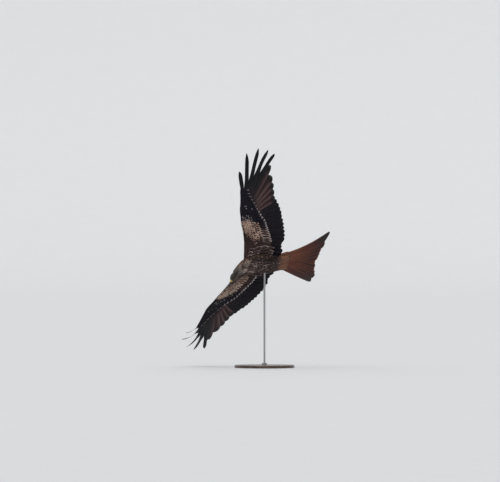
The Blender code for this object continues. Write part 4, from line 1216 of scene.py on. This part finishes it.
def head_plumage(surface, finish):
    """Fine pointed feathers of the head, smallest around the bill and eyes."""
    rng = np.random.default_rng(9)
    coat = Plumage("plumage_head")
    sections = np.array(HEAD_SECTIONS)
    ahead, row = 0.0288, 0
    while ahead > -0.0340:
        length = float(through(HEAD_LENGTH, ahead))
        section = max(ahead, -0.012)
        half, high, low = (float(through(list(zip(sections[:, 0], sections[:, k])), section)) for k in (1, 2, 3))
        count = max(10, round(pi * (half + (high + low) / 2) / (length * 0.20 * 1.3)))
        angle = (np.arange(count) + 0.5 * (row % 2) + rng.uniform(-0.15, 0.15, count)) * 2 * pi / count
        tall = np.where(np.sin(angle) > 0, high, low)
        local = np.stack((np.full(count, ahead) + rng.normal(0, length * 0.05, count),
                          half * np.cos(angle), tall * np.sin(angle)), -1)
        eyes = np.array((EYE_PLACE[0], EYE_RADIUS, EYE_PLACE[2]))
        sideways = np.abs(local[:, 1])
        from_eye = np.hypot(local[:, 0] - eyes[0], local[:, 2] - eyes[2])
        clear = (from_eye > EYE_CLEAR) | (sideways < 0.012)
        around_eye = np.exp(-((from_eye / 0.011) ** 2)) * (sideways > 0.012)
        push = np.stack((local[:, 0] - eyes[0], np.zeros(count), local[:, 2] - eyes[2]), -1)
        push /= np.linalg.norm(push, axis=1)[:, None] + 1e-9
        aims = np.array((-1.0, 0.0, 0.0)) + push * around_eye[:, None] * 0.9
        aims = aims + np.stack((np.zeros(count), rng.normal(0, 0.08, count), rng.normal(0, 0.08, count)), -1)
        aims = aims @ HEAD_AXES.T @ ATTITUDE.T
        lengths = length * rng.uniform(0.9, 1.1, count) * (1 - 0.35 * around_eye)
        lift = np.column_stack((np.full(count, -0.0014), rng.uniform(-0.0002, 0.0004, count)))
        unwrap = np.stack((angle / (2 * pi) % 1.0, np.full(count, (ahead + 0.031) / 0.06)), -1)
        looks = head_looks(local[:, 0], angle, rng)
        keep = {key: value[clear] if np.ndim(value) else value for key, value in looks.items()}
        lay_on_form(surface, coat, head_place(local[clear]), aims[clear], lengths[clear],
                    lengths[clear] * 0.21, unwrap[clear], keep, lift[clear], thickness=0.0002)
        ahead -= length * 0.36
        row += 1
    coat.build(finish, "plumage_head")
    return coat


LEG_LINE = ((-0.090, 0.030, -0.036), (-0.105, 0.029, -0.034), (-0.122, 0.026, -0.030), (-0.136, 0.023, -0.026))
LEG_RADII = (0.0140, 0.0150, 0.0120, 0.0075)


def leg_plumage(surface, wing, finish):
    """The loose feathers of one thigh, drawn back over the foot."""
    rng = np.random.default_rng(13)
    coat = Plumage("plumage_thigh_" + wing)
    side = WING_POSE[wing]["side"]
    line = np.array(LEG_LINE) * (1, side, 1)
    numbers = np.arange(len(LEG_LINE))
    for row, t in enumerate(np.arange(0.0, 3.01, 0.22)):
        centre = np.array([np.interp(t, numbers, line[:, k]) for k in range(3)])
        ahead = line[min(int(t) + 1, 3)] - line[min(int(t), 2)]
        ahead = -ahead / np.linalg.norm(ahead)
        left = np.cross((0, 0, 1), ahead)
        left /= np.linalg.norm(left)
        up = np.cross(ahead, left)
        radius = float(np.interp(t, numbers, LEG_RADII))
        count = max(7, round(2 * pi * radius / 0.0062))
        angle = (np.arange(count) + 0.5 * (row % 2)) * 2 * pi / count
        local = centre + left * (radius * np.cos(angle))[:, None] + up * (radius * np.sin(angle))[:, None]
        aims = (-ahead + left * rng.normal(0, 0.1, count)[:, None]) @ ATTITUDE.T
        lengths = rng.uniform(0.020, 0.026, count)
        lift = np.column_stack((np.full(count, -0.002), rng.uniform(0.0, 0.0012, count)))
        chance = rng.uniform(0, 1, count)
        looks = {"core": mix(np.array((0.034, 0.021, 0.021)), (0.060, 0.036, 0.032), chance),
                 "edge": mix(np.array((0.13, 0.09, 0.08)), (0.24, 0.17, 0.15), chance),
                 "rim": 0.0012, "streak": 0.5}
        unwrap = np.stack((angle / (2 * pi) % 1.0, np.full(count, t / 3.0)), -1)
        lay_on_form(surface, coat, place(local), aims, lengths, lengths * 0.19, unwrap, looks, lift)
    coat.build(finish, "plumage_brown")
    return coat


COAT_DEPTH = {"trunk": 0.0034, "tail_base": 0.0016, "neck": 0.0026, "head": 0.0016, "leg": 0.0020,
              "wing": 0.0007}
EYE_SOCKET = 0.0026


def skin_piece(form, coats, finish):
    """The one skin: the form drawn in by the depth of the coat, and coloured as the coat over it."""
    points, normals = mesh_points(form), mesh_normals(form)
    sources = []
    for name in FLESH:
        depth = COAT_DEPTH[name.split("_")[0] if name != "tail_base" else name]
        sources += [(vert.co, depth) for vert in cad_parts[name].data.vertices]
    near = KDTree(len(sources))
    for k, (co, _) in enumerate(sources):
        near.insert(co, k)
    near.balance()
    inside = BVHTree.FromPolygons([Vector(p) for p in points], [tuple(f.vertices) for f in form.polygons])
    depths = np.zeros(len(points))
    for k, (point, normal) in enumerate(zip(points, normals)):
        wanted = np.mean([sources[index][1] for _, index, _ in near.find_n(point, 3)]) + GROWTH
        start = Vector(point) - Vector(normal) * 0.0001
        hit = inside.ray_cast(start, -Vector(normal), 0.02)
        room = hit[3] * 0.38 if hit[0] is not None else 1.0
        depths[k] = min(wanted, room)
    for side in (1, -1):
        centre = head_place((EYE_PLACE[0], side * 0.0225, EYE_PLACE[2]))
        away = np.linalg.norm(points - centre, axis=1)
        depths += EYE_SOCKET * smooth_step((0.0085 - away) / 0.004)
    points = points - normals * depths[:, None]
    form.vertices.foreach_set("co", points.ravel())
    places = np.concatenate([coat.colours()[0][::16] for coat in coats])
    colours = np.concatenate([coat.colours()[1][::16] for coat in coats])
    tree = KDTree(len(places))
    for k, co in enumerate(places):
        tree.insert(co, k)
    tree.balance()
    chosen = np.array([colours[tree.find(point)[1]] for point in points])
    form.attributes.new("core", "FLOAT_COLOR", "POINT").data.foreach_set(
        "color", np.column_stack((chosen, np.ones(len(chosen)))).ravel())
    form.name = "skin"
    form.shade_smooth()
    return finished_piece("skin", form, finish, FLESH)


def loft(rings, name):
    """Closed smooth mesh through rings of equal point count, capped at both ends."""
    rings = np.asarray(rings)
    rows, around = rings.shape[:2]
    faces = []
    for row in range(rows - 1):
        for k in range(around):
            after = (k + 1) % around
            near, far = row * around, (row + 1) * around
            faces.append((near + k, near + after, far + after, far + k))
    faces.append(tuple(range(around))[::-1])
    faces.append(tuple((rows - 1) * around + k for k in range(around)))
    shape = bmesh.new()
    verts = [shape.verts.new(point) for point in rings.reshape(-1, 3)]
    for face in faces:
        shape.faces.new([verts[k] for k in face])
    bmesh.ops.recalc_face_normals(shape, faces=shape.faces)
    mesh = bpy.data.meshes.new(name)
    shape.to_mesh(mesh)
    shape.free()
    mesh.shade_smooth()
    return mesh


def paint(mesh, colours):
    colours = np.column_stack((np.broadcast_to(colours, (len(mesh.vertices), 3)), np.ones(len(mesh.vertices))))
    mesh.attributes.new("core", "FLOAT_COLOR", "POINT").data.foreach_set("color", colours.ravel())
    return mesh


def joined(name, meshes):
    """One mesh made of several, with their colours."""
    shape = bmesh.new()
    for mesh in meshes:
        shape.from_mesh(mesh)
    whole = bpy.data.meshes.new(name)
    shape.to_mesh(whole)
    shape.free()
    whole.shade_smooth()
    return whole


CERE_END = 0.0395
CERE_YELLOW = (0.52, 0.40, 0.09)
HORN = (0.030, 0.030, 0.034)


def mandible(name, sections, finish, upper):
    """A mandible through its sections, with the yellow cere and its nostrils on the upper one."""
    table = np.array(sections)
    ahead = mix(table[0, 0] - 0.0022, table[-1, 0], np.linspace(0, 1, 30) ** 0.92)
    half, top, bottom = (through(list(zip(table[:, 0], table[:, k])), ahead) for k in (1, 2, 3))
    sides = 28
    angle = (np.arange(sides) + 0.5) * 2 * pi / sides
    rings, colours = [], []
    for k, x in enumerate(ahead):
        swollen = 0.0006 * smooth_step((CERE_END - x) / 0.0012) if upper else 0.0
        width, middle, high = half[k] + swollen, (top[k] + bottom[k]) / 2, (top[k] - bottom[k]) / 2 + swollen
        meeting = np.sin(angle) * (-1 if upper else 1) > 0
        swing = np.sign(np.sin(angle)) * np.abs(np.sin(angle)) ** np.where(meeting, 0.40, 1.0)
        y = width * np.sign(np.cos(angle)) * np.abs(np.cos(angle)) ** 0.9
        z = middle + high * swing
        if upper:
            # The nostril is a shallow dent painted near black: painted shade of its opening.
            nostril = np.exp(-(((x - 0.0362) / 0.0014) ** 2) - ((z - 0.0026) / 0.0011) ** 2)
            y = y * (1 - 0.30 * nostril)
            dark = nostril
        else:
            dark = np.zeros(sides)
        cere = smooth_step((CERE_END - x + 0.0006 * np.sin(angle)) / 0.0008) if upper else \
            0.8 * smooth_step((0.0335 - x) / 0.003) * np.ones(sides)
        rings.append(head_place(np.stack((np.full(sides, x), y, z), -1)))
        tone = mix(np.array(HORN), CERE_YELLOW, cere)
        colours.append(mix(tone, (0.01, 0.01, 0.01), 0.9 * dark))
    mesh = paint(loft(rings, name), np.concatenate(colours))
    return finished_piece("kite_" + name, mesh, finish, (name,))


def eye(wing, finish):
    """Eyeball with a dark pupil in an amber iris, facing out of the side of the head."""
    side = WING_POSE[wing]["side"]
    polar = np.radians((1, 8, 16, 22, 25, 27, 34, 42, 50, 56, 59, 64, 75, 90, 110, 130, 150, 170, 179))
    sides = 32
    turn = np.arange(sides) * 2 * pi / sides
    facing = np.array((0.22, side, 0.06))
    facing /= np.linalg.norm(facing)
    across = np.cross(facing, (0, 0, 1.0))
    across /= np.linalg.norm(across)
    up = np.cross(across, facing)
    rings, colours = [], []
    for angle in polar:
        bulge = 1 + 0.05 * smooth_step((radians(50) - angle) / radians(40))
        ring = (facing * cos(angle) * bulge + (across * np.cos(turn)[:, None] + up * np.sin(turn)[:, None])
                * sin(angle)) * EYE_RADIUS
        rings.append(head_place(np.array((EYE_PLACE[0], side * EYE_PLACE[1], EYE_PLACE[2])) + ring))
        if angle < radians(26):
            tone = (0.004, 0.004, 0.004)
        elif angle < radians(58):
            tone = mix(np.array((0.09, 0.052, 0.017)), (0.22, 0.14, 0.045), (angle - radians(26)) / radians(30))
        else:
            tone = (0.02, 0.016, 0.014)
        colours.append(np.broadcast_to(tone, (sides, 3)))
    mesh = paint(loft(rings, "eyeball"), np.concatenate(colours))
    return finished_piece("kite_eye_" + wing, mesh, finish, ("eye_" + wing,))


def tube(points, radii, sides, flat=1.0):
    """Rings of a tube along points of the world, flattened across by a share."""
    points = np.asarray(points, float)
    rings = []
    for k, point in enumerate(points):
        along = points[min(k + 1, len(points) - 1)] - points[max(k - 1, 0)]
        along /= np.linalg.norm(along)
        across = np.cross((0, 0, 1.0), along)
        across /= np.linalg.norm(across)
        up = np.cross(along, across)
        turn = np.arange(sides) * 2 * pi / sides
        rings.append(point + (across * np.cos(turn)[:, None] + up * np.sin(turn)[:, None] * flat) * radii[k])
    return rings


def lids(wing, finish):
    """Bare rim of the eye, the brow over it and the yellow gape behind the bill."""
    side = WING_POSE[wing]["side"]
    turn = np.linspace(0, 2 * pi, 41)
    opening = 0.0049
    sink = 0.0200 - 0.0012 * np.cos(turn) * 0.6
    ring = np.stack((
        EYE_PLACE[0] + opening * np.cos(turn), side * sink,
        EYE_PLACE[2] + opening * np.sin(turn) * np.where(np.sin(turn) > 0, 0.80, 0.92)), -1)
    rim = tube(head_place(ring[:-1]), np.full(40, 0.0011), 8)
    rim.append(rim[0])
    rim = loft(rim, "rim")
    t = np.linspace(0, 1, 15)
    brow = np.stack((mix(0.0185, -0.0020, t), side * (0.0168 + 0.0052 * np.sin(pi * t) ** 0.7 + 0.0012 * t),
                     0.0088 + 0.0014 * np.sin(pi * t)), -1)
    ridge = loft(tube(head_place(brow), 0.0004 + 0.0018 * np.sin(pi * t), 10, 0.8), "brow")
    gape = np.stack((mix(0.0320, 0.0170, t), side * (0.0062 + 0.0100 * t**0.8), -0.0034 - 0.0020 * t**1.5), -1)
    corner = loft(tube(head_place(gape), 0.0010 - 0.0005 * t, 10), "gape")
    meshes = [paint(rim, (0.040, 0.034, 0.026)), paint(ridge, (0.036, 0.033, 0.028)),
              paint(corner, (0.34, 0.25, 0.07))]
    piece = joined("lids_" + wing, meshes)
    return finished_piece("face_skin_" + wing, piece, finish)


FOOT_YELLOW = (0.50, 0.36, 0.06)


def foot(wing, finish, claw_finish):
    """Scaled shank and toes, folded back, with curved claws."""
    side = WING_POSE[wing]["side"]
    meshes, claws = [], []
    for k, line in enumerate((TARSUS,) + TOES):
        line = np.array(line) * (1, side, 1)
        t = np.linspace(0, 2, 49)
        points = np.stack([through(list(zip(range(3), line[:, c])), t) for c in range(3)], -1)
        scutes = 1 + 0.07 * np.abs(np.sin(t * pi * 7))
        shrink = 1 - 0.10 * t if k == 0 else 1 - 0.22 * t
        radii = TOE_RADIUS * 0.92 * shrink * scutes
        meshes.append(paint(loft(tube(place(points), radii, 16), "toe"), FOOT_YELLOW))
        if k:
            end, way = points[-1], points[-1] - points[-4]
            way /= np.linalg.norm(way)
            s = np.linspace(0, 1, 10)
            curve = end + way * (0.010 * s)[:, None] + np.array((0, 0, -0.0030)) * (s**2)[:, None]
            claws.append(paint(loft(tube(place(curve), 0.0021 * (1 - s) ** 0.8 + 0.00015, 10), "claw"), HORN))
    finished_piece("kite_foot_" + wing, joined("foot", meshes), finish, ("foot_" + wing,))
    finished_piece("kite_claws_" + wing, joined("claws", claws), claw_finish)


class Nodes:
    """Short hand for building a material's node tree."""

    def __init__(self, name):
        self.material = bpy.data.materials.new(name)
        self.material.use_nodes = True
        self.tree = self.material.node_tree
        self.shader = self.tree.nodes["Principled BSDF"]

    def set(self, **settings):
        for socket, value in settings.items():
            self.shader.inputs[socket.replace("_", " ")].default_value = value

    def node(self, kind, inputs=None, **settings):
        made = self.tree.nodes.new(kind)
        for key, value in settings.items():
            setattr(made, key, value)
        for socket, value in (inputs or {}).items():
            if isinstance(value, bpy.types.NodeSocket):
                self.tree.links.new(value, made.inputs[socket])
            else:
                made.inputs[socket].default_value = value
        return made

    def attribute(self, name, output="Fac"):
        return self.node("ShaderNodeAttribute", attribute_name=name).outputs[output]

    def math(self, operation, *values):
        return self.node("ShaderNodeMath", dict(enumerate(values)), operation=operation).outputs[0]

    def step(self, value, low, high):
        """Smooth step of a value from 0 at low to 1 at high."""
        made = self.node("ShaderNodeMapRange", {"Value": value, "From Min": low, "From Max": high},
                         interpolation_type="SMOOTHSTEP")
        return made.outputs["Result"]

    def blend(self, part, a, b, kind="MIX"):
        made = self.node("ShaderNodeMix", data_type="RGBA", blend_type=kind)
        for index, value in ((0, part), (6, a), (7, b)):
            if isinstance(value, bpy.types.NodeSocket):
                self.tree.links.new(value, made.inputs[index])
            else:
                made.inputs[index].default_value = value
        return made.outputs[2]

    def noise(self, scale, detail=2.0, vector=None):
        inputs = {"Scale": scale, "Detail": detail}
        inputs["Vector"] = vector or self.node("ShaderNodeTexCoord").outputs["Object"]
        return self.node("ShaderNodeTexNoise", inputs).outputs["Fac"]

    def tint(self, colour, value, low, high):
        """A colour made darker or lighter as value goes from 0 to 1."""
        level = self.math("ADD", self.math("MULTIPLY", value, high - low), low)
        grey = self.node("ShaderNodeCombineColor", {0: level, 1: level, 2: level}).outputs[0]
        return self.blend(1.0, colour, grey, "MULTIPLY")

    def colour(self, value):
        self.tree.links.new(value, self.shader.inputs["Base Color"])

    def bump(self, height, distance, strength=1.0):
        made = self.node("ShaderNodeBump", {"Height": height, "Distance": distance, "Strength": strength})
        self.tree.links.new(made.outputs["Normal"], self.shader.inputs["Normal"])


def plumage_finish(name, gloss=0.0):
    """Vanes with barbs, a shaft, a paler rim and faint bars, from values on each feather's points."""
    make = Nodes(name)
    across = make.math("ABSOLUTE", make.attribute("across"))
    along, brink, rim = make.attribute("along"), make.attribute("brink"), make.attribute("rim")
    ragged = make.math("MULTIPLY", make.math("SUBTRACT", make.noise(900.0), 0.5), 0.0012)
    inset = make.math("ADD", brink, ragged)
    pale = make.math("SUBTRACT", 1.0, make.step(
        inset, make.math("SUBTRACT", rim, 0.0004), make.math("ADD", rim, 0.0005)))
    has_rim = make.math("GREATER_THAN", rim, 0.0001)
    base = make.blend(make.math("MULTIPLY", pale, has_rim), make.attribute("core", "Color"),
                      make.attribute("edge", "Color"))
    wave = make.math("SINE", make.math("ADD", make.math("MULTIPLY", along, 2 * pi / 0.013),
                                       make.math("MULTIPLY", make.noise(60.0), 5.0)))
    barred = make.math("MULTIPLY", make.step(wave, 0.1, 0.7), make.attribute("bars"))
    base = make.blend(barred, base, make.tint(base, 0.0, 0.45, 1.0))
    shaft = make.math("SUBTRACT", 1.0, make.step(across, 0.0002, 0.0013))
    streak = make.math("MULTIPLY", shaft, make.attribute("streak"))
    base = make.blend(streak, base, make.tint(base, 0.0, 0.40, 1.0))
    barb = make.math("SINE", make.math("MULTIPLY", make.math(
        "SUBTRACT", along, make.math("MULTIPLY", across, 1.2)), 2 * pi / 0.0011))
    base = make.tint(base, make.math("ADD", make.math("MULTIPLY", barb, 0.5), 0.5), 0.95, 1.05)
    base = make.tint(base, make.noise(110.0, 3.0), 0.78, 1.22)
    base = make.tint(base, make.noise(9.0, 1.0), 0.90, 1.10)
    make.colour(base)
    make.bump(barb, 0.00008, 0.6)
    make.set(Roughness=0.70 - gloss, IOR=1.40, Specular_IOR_Level=0.16)
    return make.material


def skin_finish():
    """Down and skin under the coat, in the coat's own colours."""
    make = Nodes("skin_and_down")
    base = make.tint(make.attribute("core", "Color"), make.noise(140.0, 3.0), 0.70, 1.10)
    make.colour(base)
    make.bump(make.noise(420.0, 3.0), 0.0006)
    make.set(Roughness=0.85, IOR=1.4, Specular_IOR_Level=0.16)
    return make.material


def bare_finish(name, roughness, coat, grain, depth):
    """Horn, cere, lid and claw: painted by the points, with fine wear."""
    make = Nodes(name)
    base = make.tint(make.attribute("core", "Color"), make.noise(grain, 3.0), 0.78, 1.16)
    make.colour(base)
    make.bump(make.noise(grain * 3, 3.0), depth)
    make.set(Roughness=roughness, IOR=1.5, Coat_Weight=coat, Coat_Roughness=0.15)
    return make.material


def eye_finish():
    make = Nodes("wet_eye")
    base = make.tint(make.attribute("core", "Color"), make.noise(1500.0, 2.0), 0.75, 1.2)
    make.colour(base)
    make.set(Roughness=0.06, IOR=1.38, Specular_IOR_Level=0.20, Coat_Weight=0.12, Coat_Roughness=0.02)
    return make.material


def foot_finish():
    """Scaly yellow skin."""
    make = Nodes("scaly_foot")
    place_on = make.node("ShaderNodeTexCoord").outputs["Object"]
    cells = make.node("ShaderNodeTexVoronoi", {"Vector": place_on, "Scale": 620.0}, feature="DISTANCE_TO_EDGE")
    scale = make.step(cells.outputs["Distance"], 0.0, 0.14)
    base = make.tint(make.attribute("core", "Color"), scale, 0.55, 1.05)
    base = make.tint(base, make.noise(90.0), 0.80, 1.15)
    make.colour(base)
    make.bump(scale, 0.0004)
    make.set(Roughness=0.50, IOR=1.45)
    return make.material


def wood_finish():
    """Dark stained hardwood with rings of grain and a satin lacquer."""
    make = Nodes("dark_hardwood")
    place_on = make.node("ShaderNodeTexCoord").outputs["Object"]
    stretched = make.node("ShaderNodeMapping", {"Vector": place_on, "Scale": (1.2, 9.0, 9.0)}).outputs[0]
    wander = make.noise(3.0, 3.0, stretched)
    rings = make.math("SINE", make.math("MULTIPLY", wander, 46.0))
    base = make.blend(make.step(rings, -0.9, 0.9), (0.034, 0.017, 0.010, 1), (0.085, 0.043, 0.024, 1))
    pores = make.noise(420.0, 2.0, make.node(
        "ShaderNodeMapping", {"Vector": place_on, "Scale": (0.08, 1.0, 1.0)}).outputs[0])
    base = make.tint(base, pores, 0.70, 1.25)
    make.colour(base)
    make.bump(pores, 0.0002, 0.4)
    make.set(Roughness=0.38, IOR=1.5, Coat_Weight=0.35, Coat_Roughness=0.2)
    return make.material


def steel_finish():
    """Steel brushed round the rod."""
    make = Nodes("brushed_steel")
    place_on = make.node("ShaderNodeTexCoord").outputs["Object"]
    fine = make.noise(900.0, 2.0, make.node(
        "ShaderNodeMapping", {"Vector": place_on, "Scale": (0.15, 0.15, 3.0)}).outputs[0])
    base = make.blend(fine, (0.30, 0.30, 0.31, 1), (0.46, 0.46, 0.47, 1))
    make.colour(base)
    make.bump(fine, 0.00003)
    make.set(Metallic=1.0, Roughness=0.34)
    return make.material


# Studio: a wide pale bowl that takes in the camera of every view.
FLOOR_RADIUS = 36.0
BOWL_RADIUS = 46.0
BOWL_HEIGHT = 12.0
PIXELS_A_METRE = 158.0
PHOTO_WIDTH = 500
CAMERA_DISTANCE = 30.0
CAMERA_ASIDE = -0.0266
CAMERA_UP = 0.143
SENSOR = 36.0


def backdrop():
    """Flat floor that curves up into a wall all round."""
    rings = [(0.001, 0.0)] + [(radius, 0.0) for radius in np.linspace(2.0, FLOOR_RADIUS, 12)]
    for t in np.linspace(0.1, 1.0, 12):
        rings.append((FLOOR_RADIUS + (BOWL_RADIUS - FLOOR_RADIUS) * sin(t * pi / 2),
                      BOWL_HEIGHT * (1 - cos(t * pi / 2))))
    sides = 96
    turn = np.arange(sides) * 2 * pi / sides
    points = [(radius * cos(a), radius * sin(a), height) for radius, height in rings for a in turn]
    faces = [(row * sides + k, row * sides + (k + 1) % sides, (row + 1) * sides + (k + 1) % sides,
              (row + 1) * sides + k) for row in range(len(rings) - 1) for k in range(sides)]
    mesh = bpy.data.meshes.new("backdrop")
    mesh.from_pydata(points, [], faces)
    mesh.shade_smooth()
    make = Nodes("pale_floor")
    make.colour(make.tint(make.blend(1.0, (0.715, 0.720, 0.728, 1), (1, 1, 1, 1), "MULTIPLY"),
                          make.noise(6.0, 3.0), 0.985, 1.015))
    make.set(Roughness=0.9, IOR=1.3)
    mesh.materials.append(make.material)
    bowl = bpy.data.objects.new("backdrop", mesh)
    bpy.context.scene.collection.objects.link(bowl)


def lights():
    world = bpy.data.worlds.new("studio")
    world.use_nodes = True
    background = world.node_tree.nodes["Background"]
    background.inputs["Color"].default_value = (0.97, 0.985, 1.0, 1)
    background.inputs["Strength"].default_value = 0.80
    bpy.context.scene.world = world
    sun = bpy.data.lights.new("soft_key", "SUN")
    sun.energy = 0.9
    sun.angle = radians(50)
    key = bpy.data.objects.new("soft_key", sun)
    key.rotation_euler = Vector((-0.35, -0.75, 0.85)).to_track_quat("Z", "Y").to_euler()
    bpy.context.scene.collection.objects.link(key)
    bpy.context.scene.view_settings.view_transform = "Standard"


def camera():
    """The photograph's view: level, from far off, at its own scale."""
    lens = bpy.data.cameras.new("camera")
    lens.sensor_width = SENSOR
    lens.lens = SENSOR * CAMERA_DISTANCE * PIXELS_A_METRE / PHOTO_WIDTH
    lens.clip_end = 200.0
    eye_point = bpy.data.objects.new("camera", lens)
    eye_point.location = Vector(BODY_ORIGIN) + Vector((CAMERA_ASIDE, -CAMERA_DISTANCE, CAMERA_UP))
    eye_point.rotation_euler = (pi / 2, 0.0, 0.0)
    bpy.context.scene.collection.objects.link(eye_point)
    bpy.context.scene.camera = eye_point


def build():
    flight = plumage_finish("flight_feathers", gloss=0.12)
    soft = plumage_finish("soft_plumage")
    form = joined_flesh()
    blades = ("tail_left", "tail_right", "wing_left_secondaries", "wing_right_secondaries")
    naped = filled(form, nape_points())
    surface = resting_surface(naped, *blades)
    over_feet = resting_surface(filled(naped, vent_points()), *blades)
    coats = []
    for wing in WING_POSE:
        flight_feathers(wing, flight)
        tail_feathers(wing, flight)
        alula(wing, flight)
        coats += [wing_coverts(wing, -1, soft), wing_coverts(wing, 1, soft)]
        coats.append(leg_plumage(surface, wing, soft))
    coats += body_plumage(over_feet, soft)
    coats.append(vent_plumage(over_feet, soft))
    coats.append(head_plumage(surface, soft))
    skin_piece(form, coats, skin_finish())
    horn = bare_finish("horn_and_cere", 0.34, 0.3, 220.0, 0.00012)
    claw = bare_finish("claw_horn", 0.28, 0.4, 300.0, 0.00008)
    lid = bare_finish("bare_face_skin", 0.55, 0.0, 500.0, 0.00025)
    mandible("bill_upper", BILL_UPPER, horn, True)
    mandible("bill_lower", BILL_LOWER, horn, False)
    wet, scaly = eye_finish(), foot_finish()
    for wing in WING_POSE:
        eye(wing, wet)
        lids(wing, lid)
        foot(wing, scaly, claw)
    wood, steel = wood_finish(), steel_finish()
    for name, finish in (("stand_base", wood), ("stand_collar", steel), ("stand_rod", steel)):
        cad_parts[name].data.materials[0] = finish


camera()
lights()
backdrop()
build()
